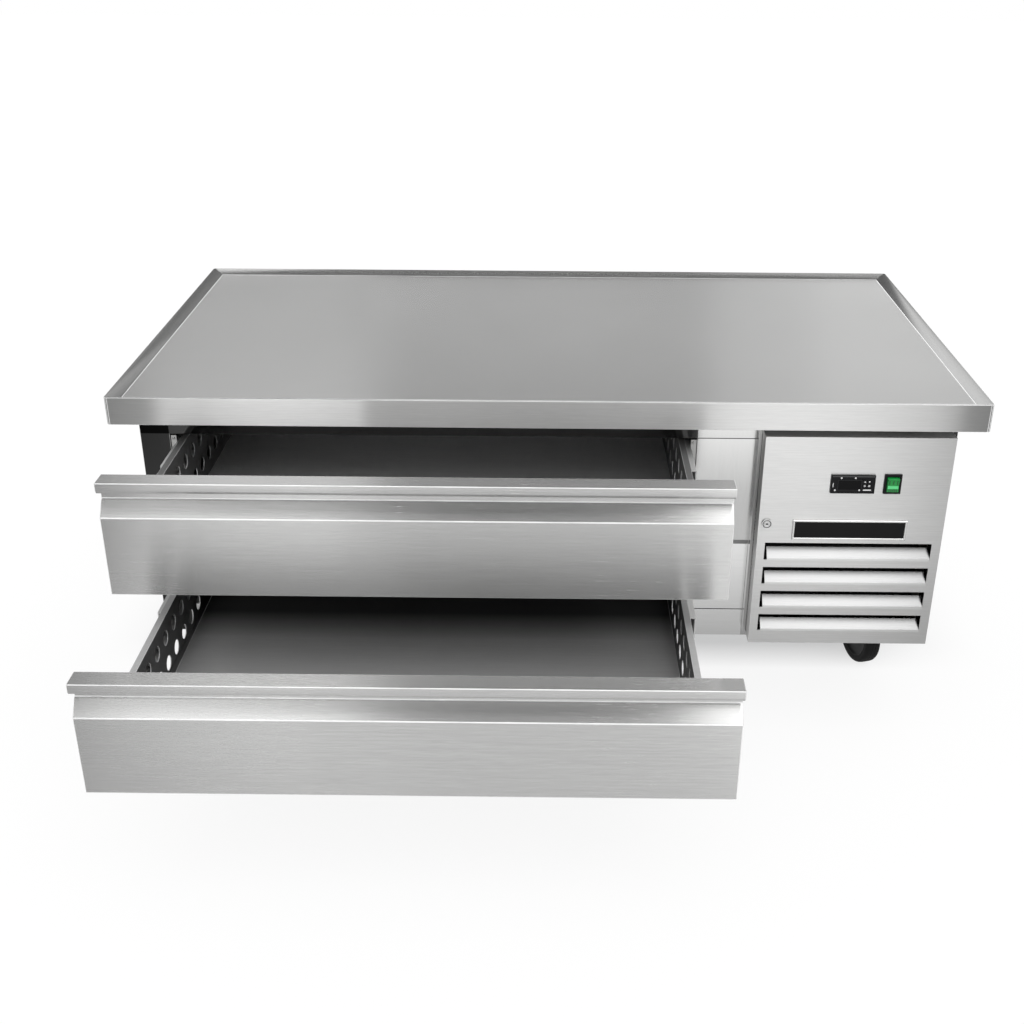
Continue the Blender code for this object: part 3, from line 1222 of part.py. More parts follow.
def make_condensing_unit():
    """The condensing unit: base tray, finned condenser, fan shroud, fan, motor and compressor."""
    unit_left = BAY_LEFT
    unit_right = BAY_RIGHT
    unit_back = BODY_BACK - SHEET - UNIT_MARGIN
    tray = bmesh.new()
    add_block(tray, (unit_left, CONDENSER_FRONT, BASE_FLOOR), (unit_right, unit_back, BASE_FLOOR + UNIT_BASE_LIP))
    away = [f for f in tray.faces if f.normal.z > FACING or f.normal.y < -FACING]
    bmesh.ops.delete(tray, geom=away, context="FACES")
    base = place("condensing_unit_base", mesh_of(tray, "condensing_unit_base"), GALVANISED)
    solidify(base, UNIT_BASE_THICKNESS)

    floor = UNIT_FLOOR + GAP
    inner_left = unit_left + UNIT_BASE_THICKNESS + GAP
    inner_right = unit_right - UNIT_BASE_THICKNESS - GAP
    coil_top = floor + CONDENSER_HEIGHT
    coil_back = CONDENSER_FRONT + CONDENSER_THICKNESS
    outline(
        "condenser_coil", "Z",
        [comb(inner_left, inner_right, CONDENSER_FRONT, coil_back, CONDENSER_FINS)],
        floor, coil_top, ALUMINIUM,
    )
    shroud_back = SHROUD_FRONT + SHROUD_DEPTH
    shroud = open_box(
        "condenser_shroud",
        (inner_left, SHROUD_FRONT, floor), (inner_right, shroud_back, coil_top),
        1, False, SHROUD_SHEET, BLACK_STEEL,
    )
    hole_radius = CONDENSER_FAN_RADIUS + CONDENSER_FAN_CLEARANCE
    hole_start = (CONDENSER_FAN_X, shroud_back - CUT_OVERRUN, CONDENSER_FAN_Z)
    cut(shroud, rod("condenser_fan_hole", "Y", hole_start, 2 * CUT_OVERRUN, hole_radius, None, 32))

    make_fan(
        "condenser_fan", "Y", (CONDENSER_FAN_X, CONDENSER_FAN_Y, CONDENSER_FAN_Z), CONDENSER_FAN_RADIUS,
        CONDENSER_HUB_RADIUS, CONDENSER_HUB_LENGTH, CONDENSER_BLADE_CHORD, ALUMINIUM,
    )
    motor_front = CONDENSER_FAN_Y + CONDENSER_HUB_LENGTH / 2 + MOTOR_GAP
    motor = rod(
        "condenser_fan_motor", "Y", (CONDENSER_FAN_X, motor_front, CONDENSER_FAN_Z),
        CONDENSER_MOTOR_LENGTH, CONDENSER_MOTOR_RADIUS, BLACK_STEEL,
    )
    shaft_front = CONDENSER_FAN_Y - CONDENSER_HUB_LENGTH / 2
    join(motor, rod(
        "condenser_shaft", "Y", (CONDENSER_FAN_X, shaft_front, CONDENSER_FAN_Z),
        motor_front + CONDENSER_MOTOR_LENGTH / 2 - shaft_front, FAN_SHAFT_RADIUS, None, SMALL_SIDES,
    ))
    foot_y = motor_front + CONDENSER_MOTOR_LENGTH / 2
    join(motor, block(
        "condenser_motor_foot",
        (CONDENSER_FAN_X - MOTOR_FOOT_WIDTH / 2, foot_y - MOTOR_FOOT_LENGTH / 2, floor),
        (CONDENSER_FAN_X + MOTOR_FOOT_WIDTH / 2, foot_y + MOTOR_FOOT_LENGTH / 2, CONDENSER_FAN_Z),
        None,
    ))

    centre = (CONDENSER_FAN_X, unit_back - COMPRESSOR_BACK_SETBACK)
    seam_low = COMPRESSOR_SEAM_HEIGHT - COMPRESSOR_SEAM_THICKNESS / 2
    seam_high = COMPRESSOR_SEAM_HEIGHT + COMPRESSOR_SEAM_THICKNESS / 2
    seam_radius = COMPRESSOR_RADIUS + COMPRESSOR_SEAM_PROUD
    profile = [(0.0, COMPRESSOR_HEIGHT)]
    dome_steps = 4
    for i in range(1, dome_steps + 1):
        angle = (math.pi / 2) * i / dome_steps
        radius = COMPRESSOR_RADIUS * math.sin(angle)
        height = COMPRESSOR_HEIGHT - COMPRESSOR_DOME * (1 - math.cos(angle))
        profile.append((radius, height))
    profile += [
        (COMPRESSOR_RADIUS, seam_high), (seam_radius, seam_high), (seam_radius, seam_low),
        (COMPRESSOR_RADIUS, seam_low), (COMPRESSOR_RADIUS, 0.0), (0.0, 0.0),
    ]
    pot = turned("compressor", profile, False, ROUND_SIDES, BLACK_STEEL)
    pot.location = (*centre, floor)
    bpy.context.view_layer.update()
    join(pot, block(
        "compressor_feet",
        (centre[0] - COMPRESSOR_FOOT_WIDTH / 2, centre[1] - COMPRESSOR_FOOT_LENGTH / 2, floor),
        (centre[0] + COMPRESSOR_FOOT_WIDTH / 2, centre[1] + COMPRESSOR_FOOT_LENGTH / 2,
         floor + COMPRESSOR_FOOT_THICKNESS),
        None,
    ))
    return pot


def caster_places():
    front = TOP_FRONT + CASTER_FRONT_SETBACK
    back = TOP_BACK - CASTER_BACK_SETBACK
    return {
        "front_right": (CASTER_X, front),
        "front_left": (-CASTER_X, front),
        "back_right": (CASTER_X, back),
        "back_left": (-CASTER_X, back),
    }


def make_base_frame():
    """A shallow channel frame under the cabinet, with the casters' plates welded to it."""
    front = TOP_FRONT + BASE_FRONT_SETBACK
    back = TOP_BACK - BASE_BACK_SETBACK
    low = CASTER_HEIGHT + CASTER_PLATE
    high = BODY_BOTTOM - GAP
    frame = outline(
        "base_frame", "Z",
        [
            rectangle(-BASE_HALF_WIDTH, BASE_HALF_WIDTH, front, back),
            rectangle(
                -BASE_HALF_WIDTH + BASE_STRIP, BASE_HALF_WIDTH - BASE_STRIP,
                front + BASE_STRIP, back - BASE_STRIP,
            ),
        ],
        low, high, GALVANISED,
    )
    bm = bmesh.new()
    bm.from_mesh(frame.data)
    roof = [face for face in bm.faces if face.normal.z > FACING]
    bmesh.ops.delete(bm, geom=roof, context="FACES")
    bm.to_mesh(frame.data)
    bm.free()
    solidify(frame, BASE_SHEET)
    plates = bmesh.new()
    for x, y in caster_places().values():
        add_block(
            plates,
            (x - CASTER_PLATE_WIDTH / 2, y - CASTER_PLATE_LENGTH / 2, CASTER_HEIGHT),
            (x + CASTER_PLATE_WIDTH / 2, y + CASTER_PLATE_LENGTH / 2, low + BASE_SHEET / 2),
        )
    join(frame, place("caster_plates", mesh_of(plates, "caster_plates"), None))


def make_casters():
    """Four swivel casters: each fork turns about its stem, and each wheel about its axle."""
    top = CASTER_HEIGHT - GAP
    crown_low = top - FORK_CROWN_DROP - FORK_THICKNESS
    inner = HUB_WIDTH / 2 + FORK_SIDE_CLEARANCE
    outer = inner + FORK_THICKNESS
    eye = (CASTER_TRAIL, WHEEL_RADIUS)
    half_crown = FORK_CROWN_LENGTH / 2
    crown_high = crown_low + FORK_THICKNESS
    eye_steps = 6
    leg = [(-half_crown, crown_high), (-half_crown, crown_low)]
    for i in range(eye_steps + 1):
        angle = math.pi + math.pi * i / eye_steps
        leg.append((eye[0] + FORK_EYE_RADIUS * math.cos(angle), eye[1] + FORK_EYE_RADIUS * math.sin(angle)))
    leg += [(half_crown, crown_low), (half_crown, crown_high)]

    fork = outline("fork_shape", "X", [leg], -outer, -inner, ZINC)
    join(fork, outline("fork_far_leg", "X", [leg], inner, outer, None))
    join(fork, block(
        "fork_crown",
        (-inner - FORK_THICKNESS / 2, -half_crown, crown_low),
        (inner + FORK_THICKNESS / 2, half_crown, crown_high),
        None,
    ))
    join(fork, rod(
        "swivel_head", "Z", (0.0, 0.0, crown_low + FORK_THICKNESS / 2),
        top - crown_low - FORK_THICKNESS / 2, SWIVEL_RADIUS, None,
    ))
    axle_half = outer + AXLE_HEAD
    join(fork, rod(
        "axle", "X", (-axle_half, *eye), 2 * axle_half, AXLE_RADIUS, None, SMALL_SIDES,
    ))
    heads = bmesh.new()
    for start in (-axle_half, outer - FORK_THICKNESS / 2):
        length = AXLE_HEAD + FORK_THICKNESS / 2
        add_rod(heads, "X", (start, *eye), length, AXLE_HEAD_RADIUS, 6)
    join(fork, place("axle_heads", mesh_of(heads, "axle_heads"), None))
    settle(fork)

    bore = AXLE_RADIUS + AXLE_CLEARANCE
    tread = WHEEL_WIDTH / 2
    web = WHEEL_WEB_WIDTH / 2
    hub = HUB_WIDTH / 2
    profile = [
        (bore, hub), (HUB_RADIUS, hub), (HUB_RADIUS, web), (WHEEL_CORE_RADIUS, web),
        (WHEEL_CORE_RADIUS, tread), (WHEEL_RADIUS - WHEEL_EDGE, tread),
        (WHEEL_RADIUS, tread - WHEEL_EDGE), (WHEEL_RADIUS, WHEEL_EDGE - tread),
        (WHEEL_RADIUS - WHEEL_EDGE, -tread), (WHEEL_CORE_RADIUS, -tread),
        (WHEEL_CORE_RADIUS, -web), (HUB_RADIUS, -web), (HUB_RADIUS, -hub), (bore, -hub),
    ]
    wheel = turned("wheel_shape", profile, True, WHEEL_SEGMENTS, BLACK_RUBBER)
    settle(wheel)
    smooth(wheel)
    wheel.data.transform(AXIS_TURNS["X"])

    for name, (x, y) in caster_places().items():
        turn = Matrix.Rotation(CASTER_TURNS[name], 4, "Z")
        swivel = bpy.data.objects.new("caster_fork_" + name, fork.data)
        swivel.matrix_world = Matrix.Translation((x, y, 0.0)) @ turn
        PARTS.objects.link(swivel)
        rolling = bpy.data.objects.new("caster_wheel_" + name, wheel.data)
        rolling.matrix_world = Matrix.Translation((x, y, 0.0)) @ turn @ Matrix.Translation((0.0, *eye))
        PARTS.objects.link(rolling)
    bpy.data.objects.remove(fork, do_unlink=True)
    bpy.data.objects.remove(wheel, do_unlink=True)


make_worktop()
make_cabinet()
make_collar()
make_access_panel()
make_controller()
make_switch()
make_nameplate()
make_lock()
make_drawer("upper", UPPER_FRONT_TOP, UPPER_OPEN)
make_drawer("lower", LOWER_FRONT_TOP, LOWER_OPEN)
make_evaporator()
make_condensing_unit()
make_base_frame()
make_casters()
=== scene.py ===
# The looks of a two-drawer refrigerated chef base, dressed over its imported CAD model.
# Metres, +Z up, +X to the right seen from the front, +Y to the back, and the floor at z = 0.

import json
import math

import bmesh
import bpy
from mathutils import Matrix, Vector


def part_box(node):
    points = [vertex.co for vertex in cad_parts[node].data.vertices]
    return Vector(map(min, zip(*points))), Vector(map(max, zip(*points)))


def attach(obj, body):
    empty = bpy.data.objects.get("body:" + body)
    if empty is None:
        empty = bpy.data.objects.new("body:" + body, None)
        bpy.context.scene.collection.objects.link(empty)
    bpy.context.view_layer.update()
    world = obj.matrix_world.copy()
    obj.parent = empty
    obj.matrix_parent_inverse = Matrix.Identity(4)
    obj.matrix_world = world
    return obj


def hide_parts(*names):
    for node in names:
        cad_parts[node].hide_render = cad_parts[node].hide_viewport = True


# The camera, fitted to the edges of the top, the drawers and the panel
IMAGE_SIZE = 1024.0
FOCAL_PIXELS = 1311.73
IMAGE_CENTRE = (536.21, 523.42)
CAMERA_PLACE = Vector((-0.0021, -2.29385, 1.4846))
CAMERA_DOWN = 0.4586
CAMERA_YAW = -0.008
CAMERA_ROLL = 0.0057
SENSOR = 36.0

SHARP_ANGLE = math.radians(30.0)
FOLD_ANGLE = math.radians(8.0)
FLAT_ANGLE = math.radians(0.5)
WELD_REACH = 0.00001
NOISE_ROUGHNESS = 0.5

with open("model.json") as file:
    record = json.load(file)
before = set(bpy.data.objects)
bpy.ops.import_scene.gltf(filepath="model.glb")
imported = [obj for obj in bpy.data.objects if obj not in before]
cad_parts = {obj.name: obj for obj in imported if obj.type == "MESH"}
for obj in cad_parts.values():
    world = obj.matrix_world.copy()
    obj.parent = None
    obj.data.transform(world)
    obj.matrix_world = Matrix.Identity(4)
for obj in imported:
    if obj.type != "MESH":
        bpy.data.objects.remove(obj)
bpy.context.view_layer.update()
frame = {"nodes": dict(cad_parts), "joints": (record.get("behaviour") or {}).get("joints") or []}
NODES = frame["nodes"]
AXES = {joint["name"]: Vector(joint["axis"]) for joint in frame["joints"]}


def placed(name, data):
    """A new object in the scene."""
    obj = bpy.data.objects.new(name, data)
    bpy.context.scene.collection.objects.link(obj)
    return obj


def make_camera():
    """Places the camera from the fitted angles and its focal length in pixels."""
    data = bpy.data.cameras.new("camera")
    camera = placed("camera", data)
    level = math.cos(CAMERA_DOWN)
    forward = Vector((math.sin(CAMERA_YAW) * level, math.cos(CAMERA_YAW) * level, -math.sin(CAMERA_DOWN)))
    right = Vector((math.cos(CAMERA_YAW), -math.sin(CAMERA_YAW), 0.0))
    up = right.cross(forward)
    turned_right = math.cos(CAMERA_ROLL) * right + math.sin(CAMERA_ROLL) * up
    turned_up = math.cos(CAMERA_ROLL) * up - math.sin(CAMERA_ROLL) * right
    turn = Matrix((turned_right, turned_up, -forward)).transposed().to_4x4()
    camera.matrix_world = Matrix.Translation(CAMERA_PLACE) @ turn
    data.sensor_fit = "HORIZONTAL"
    data.sensor_width = SENSOR
    data.lens = FOCAL_PIXELS * SENSOR / IMAGE_SIZE
    data.shift_x = (IMAGE_SIZE / 2 - IMAGE_CENTRE[0]) / IMAGE_SIZE
    data.shift_y = (IMAGE_CENTRE[1] - IMAGE_SIZE / 2) / IMAGE_SIZE
    bpy.context.scene.camera = camera


class Graph:
    """A short way to build a material or world out of nodes."""

    def __init__(self, tree):
        self.tree = tree

    def add(self, kind, sockets=None, **settings):
        """A new node with its settings, and a value or another socket's result for each of its sockets."""
        node = self.tree.nodes.new(kind)
        for name, value in settings.items():
            setattr(node, name, value)
        for label, value in (sockets or {}).items():
            if isinstance(value, bpy.types.NodeSocket):
                self.link(value, node.inputs[label])
            else:
                node.inputs[label].default_value = value
        return node

    def link(self, source, target):
        self.tree.links.new(source, target)

    def math(self, operation, first, second=0.0):
        return self.add("ShaderNodeMath", {0: first, 1: second}, operation=operation).outputs[0]

    def plus(self, first, second):
        return self.math("ADD", first, second)

    def minus(self, first, second):
        return self.math("SUBTRACT", first, second)

    def times(self, first, second):
        return self.math("MULTIPLY", first, second)

    def larger(self, first, second):
        return self.math("MAXIMUM", first, second)

    def size(self, value):
        return self.math("ABSOLUTE", value)

    def ramp(self, value, low, high, to_low=0.0, to_high=1.0):
        """Spreads a value from one stretch to another, and clamps it."""
        sockets = {"Value": value, "From Min": low, "From Max": high, "To Min": to_low, "To Max": to_high}
        return self.add("ShaderNodeMapRange", sockets, clamp=True).outputs["Result"]

    def blend(self, first, second, value, stretch):
        """Gives way from the first level to the second as a value runs through a stretch."""
        share = self.ramp(value, *stretch)
        rest = self.minus(1.0, share)
        return self.plus(self.times(rest, first), self.times(share, second))

    def steps(self, value, stops):
        """A value that follows a list of (place, level) stops smoothly."""
        node = self.add("ShaderNodeFloatCurve", {"Value": value})
        curve = node.mapping.curves[0]
        node.mapping.use_clip = False
        for point, (x, y) in zip(curve.points, (stops[0], stops[-1])):
            point.location = (x, y)
        for x, y in stops[1:-1]:
            curve.points.new(x, y)
        for point in curve.points:
            point.handle_type = "AUTO_CLAMPED"
        node.mapping.update()
        return node.outputs["Value"]

    def between(self, factor, first, second, kind):
        """Mixes two vectors or two colours."""
        start, result = (4, 1) if kind == "VECTOR" else (6, 2)
        sockets = {0: factor, start: first, start + 1: second}
        return self.add("ShaderNodeMix", sockets, data_type=kind).outputs[result]

    def parts(self, vector):
        return list(self.add("ShaderNodeSeparateXYZ", {0: vector}).outputs)

    def joined(self, x, y, z):
        return self.add("ShaderNodeCombineXYZ", {0: x, 1: y, 2: z}).outputs[0]

    def noise(self, place, scale, detail):
        """Noise over the object, stretched by a scale for each axis."""
        place = self.add("ShaderNodeMapping", {"Scale": scale, "Vector": place}).outputs["Vector"]
        sockets = {"Vector": place, "Scale": 1.0, "Detail": detail, "Roughness": NOISE_ROUGHNESS}
        return self.add("ShaderNodeTexNoise", sockets).outputs["Fac"]


def grey(level):
    return (level, level, level)


def shade(colour, share):
    return (*(channel * share for channel in colour), 1.0)


def principled(name, colour, roughness, metallic=0.0, **sockets):
    """A new Principled material, its graph, its shader and the place on the object."""
    material = bpy.data.materials.new(name)
    material.use_nodes = True
    graph = Graph(material.node_tree)
    shader = material.node_tree.nodes["Principled BSDF"]
    uniform = {"Base_Color": (*colour, 1.0), "Roughness": roughness, "Metallic": metallic, **sockets}
    for label, value in uniform.items():
        shader.inputs[label.replace("_", " ")].default_value = value
    return material, graph, shader, graph.add("ShaderNodeTexCoord")


def tint(graph, shader, colour, factor, darkest, lightest, share=None):
    """Varies the base colour between a darker and a lighter shade of itself, and takes a share of it."""
    mixed = graph.between(factor, shade(colour, darkest), shade(colour, lightest), "RGBA")
    if share is not None:
        mixed = graph.between(share, (0.0, 0.0, 0.0, 1.0), mixed, "RGBA")
    graph.link(mixed, shader.inputs["Base Color"])


def bump(graph, shader, height, distance):
    node = graph.add("ShaderNodeBump", {"Distance": distance, "Height": height})
    graph.link(node.outputs["Normal"], shader.inputs["Normal"])


# Grain lines in a metre of brushed steel, along and across it, with their detail: coarse and fine
GRAIN_LAYERS = ((7.0, 420.0, 2.0), (40.0, 900.0, 1.0))
SMUDGE_SCALE = [2.5] * 3
GRAIN_BUMP = 0.0000025
QUARTER_TURN = 0.25
FACING_ALONG = 0.7
RIM_WIDTH = 0.025
# The share of the top's colour left on its side rims: a painted shade
RIM_PAINTED_SHADE = 0.65
# The stretches of the noise that are spread over a finish, and how quickly an end face takes its painted shade
GRAIN_RANGE = (0.36, 0.64)
UNEVEN_RANGE = (0.38, 0.62)
WEAR_RANGE = (0.3, 0.7)
END_RUN = 0.05


def on_side_rims(graph, place):
    """One on the side rims of the top, up to the mitres at its corners, and nothing elsewhere."""
    low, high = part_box("worktop")
    beyond = []
    for value, first, last in zip(graph.parts(place), low, high):
        away = graph.size(graph.minus(value, (first + last) / 2))
        beyond.append(graph.minus(away, (last - first) / 2 - RIM_WIDTH))
    return graph.math("GREATER_THAN", beyond[0], graph.larger(beyond[1], 0.0))


# Painted reflection on the front and back edges of the top, from left to right: the share of its colour left, least at
# their ends, and the share that its other faces keep
EDGE_PAINTED_LIGHT = ((0.0, 0.44), (0.04, 0.47), (0.1, 1.0), (0.28, 0.94), (0.31, 0.66), (0.4, 0.74), (0.68, 0.76),
               (0.73, 0.82), (0.92, 0.82), (0.98, 0.46), (1.0, 0.42))
FACE_FINISH = 0.71
# Painted shade: the drawer fronts' upright faces are darker toward their left ends
FRONT_PAINTED_SHADE = ((0.0, 0.8), (0.16, 0.85), (0.31, 0.91), (0.47, 1.0), (1.0, 1.0))
UPRIGHT = (0.95, 0.97)


def painted_light_share(graph, where, node, stops, rest):
    """The share of its colour that a sheet keeps, from left to right on its upright faces and on the others: painted
    light and shade.
    """
    low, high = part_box(node)
    along = graph.ramp(graph.parts(where.outputs["Object"])[0], low[0], high[0])
    facing = graph.size(graph.parts(where.outputs["Normal"])[1])
    return graph.blend(rest, graph.steps(along, stops), facing, UPRIGHT)


def brushed(name, colour, roughness, along="X", other="Y", spread=0.03, contrast=0.04, stretch=1.0,
            also_turned=None, metallic=1.0, upright=0.0, ends=1.0, painted_shades=(), profile=None):
    """Sheet steel brushed along one axis, and along another where its face looks down the first.

    Its upright faces may be rougher than its level ones, and those that look down the grain take a painted shade.
    Each painted shade is an axis, two places on it and the share of the colour that is left at the first.
    The profile is a node, and the shares of its colour that painted_light_share gives its faces: a painted light and
    shade."""
    material, graph, shader, where = principled(
        name, colour, roughness, metallic, Anisotropic=stretch, Anisotropic_Rotation=QUARTER_TURN
    )
    first, second = "XYZ".index(along), "XYZ".index(other)
    facing = graph.size(graph.parts(where.outputs["Normal"])[first])
    turned = graph.math("GREATER_THAN", facing, FACING_ALONG)
    place = where.outputs["Object"]
    # Faces that look down the grain keep the share given by ends: a painted shade
    share = graph.ramp(facing, FACING_ALONG, FACING_ALONG + END_RUN, 1.0, ends)
    if also_turned:
        rims = also_turned(graph, place)
        turned = graph.larger(turned, rims)
        # The side rims keep less of the colour: a painted shade
        share = graph.times(share, graph.ramp(rims, 0.0, 1.0, 1.0, RIM_PAINTED_SHADE))
    # The profile paints light and shade into the colour
    if profile:
        share = graph.times(share, painted_light_share(graph, where, *profile))
    swapped = graph.parts(place)
    swapped[first], swapped[second] = swapped[second], swapped[first]
    place = graph.between(turned, place, graph.joined(*swapped), "VECTOR")

    grain_axis, other_axis = [0.0] * 3, [0.0] * 3
    grain_axis[first] = other_axis[second] = 1.0
    axis = graph.between(turned, graph.joined(*grain_axis), graph.joined(*other_axis), "VECTOR")
    world_axis = graph.add("ShaderNodeVectorTransform", {0: axis}, vector_type="VECTOR", convert_from="OBJECT",
                           convert_to="WORLD")
    graph.link(world_axis.outputs[0], shader.inputs["Tangent"])

    layers = []
    for lengthwise, across, detail in GRAIN_LAYERS:
        scale = [across] * 3
        scale[first] = lengthwise
        layers.append(graph.noise(place, scale, detail))
    grain = graph.times(graph.plus(*layers), 0.5)
    smudge = graph.noise(place, SMUDGE_SCALE, 3.0)
    uneven = graph.times(graph.plus(grain, smudge), 0.5)
    rough = graph.ramp(uneven, *UNEVEN_RANGE, roughness - spread / 2, roughness + spread / 2)
    if upright:
        level = graph.size(graph.parts(where.outputs["Normal"])[2])
        rough = graph.plus(rough, graph.ramp(level, FACING_ALONG, 1.0 - FACING_ALONG, 0.0, upright))
    graph.link(rough, shader.inputs["Roughness"])
    # Each painted shade darkens the colour toward one end of an axis
    for axis, start, end, left in painted_shades:
        part = graph.ramp(graph.parts(where.outputs["Object"])["XYZ".index(axis)], start, end, left, 1.0)
        share = graph.times(share, part)
    grain_share = graph.ramp(grain, *GRAIN_RANGE)
    tint(graph, shader, colour, grain_share, 1.0 - contrast, 1.0 + contrast, share)
    bump(graph, shader, grain, GRAIN_BUMP)
    return material


SPANGLES = 90.0
SPANGLE_SPREAD = (0.08, 0.1)
WEAR_SCALE = [14.0] * 3
# The darkest and the lightest shade of a patch of zinc, and of a worn spot
SPANGLE_SHADES = (0.86, 1.12)
WEAR_SHADES = (0.88, 1.12)


def spangled(name, colour, roughness):
    """Galvanised sheet, with the faint patches of its zinc."""
    material, graph, shader, where = principled(name, colour, roughness, 1.0)
    cells = graph.add("ShaderNodeTexVoronoi", {"Scale": SPANGLES, "Vector": where.outputs["Object"]})
    patch = graph.add("ShaderNodeSeparateColor", {0: cells.outputs["Color"]})
    tint(graph, shader, colour, patch.outputs[0], *SPANGLE_SHADES)
    rough = graph.ramp(patch.outputs[1], 0.0, 1.0, roughness - SPANGLE_SPREAD[0], roughness + SPANGLE_SPREAD[1])
    graph.link(rough, shader.inputs["Roughness"])
    return material


def grained(name, colour, roughness, grains, depth, metallic=0.0, spread=0.08, specular=0.5):
    """Moulded, painted or cast surfaces: a fine even texture under faint wear."""
    material, graph, shader, where = principled(name, colour, roughness, metallic, Specular_IOR_Level=specular)
    place = where.outputs["Object"]
    texture = graph.noise(place, [grains] * 3, 2.0)
    wear = graph.noise(place, WEAR_SCALE, 4.0)
    tint(graph, shader, colour, graph.ramp(wear, *WEAR_RANGE), *WEAR_SHADES)
    rough = graph.ramp(wear, *WEAR_RANGE, roughness - spread / 2, roughness + spread / 2)
    graph.link(rough, shader.inputs["Roughness"])
    bump(graph, shader, texture, depth)
    return material


STEEL = (0.6, 0.6, 0.595)
TOP_STEEL = (0.82, 0.82, 0.813)
PANEL_STEEL = (0.64, 0.64, 0.635)
DULL_STEEL = grey(0.3)
BOX_STEEL = grey(0.52)
UPPER_BOX_STEEL = grey(0.7)
# A lighter copy of the steel for the drawers' inner panels: painted light
LIT_INNER_STEEL = grey(0.78)
# A darker copy of the panel's steel for the louvre vanes' leaning faces: painted shade
SHADED_VANE_STEEL = grey(0.42)
# A lighter copy of the steel for the rail and stile covers: painted light
LIT_RAIL_STEEL = (0.96, 0.96, 0.955)
# The finish of the frame's sheets: finely ground, with little grain
GROUND = {"spread": 0.02, "contrast": 0.02, "stretch": 0.4}
# The floor of the lower drawer lies in the shade of the upper one between these distances
LOWER_FADE_START = -0.25
LOWER_FADE_END = -0.155

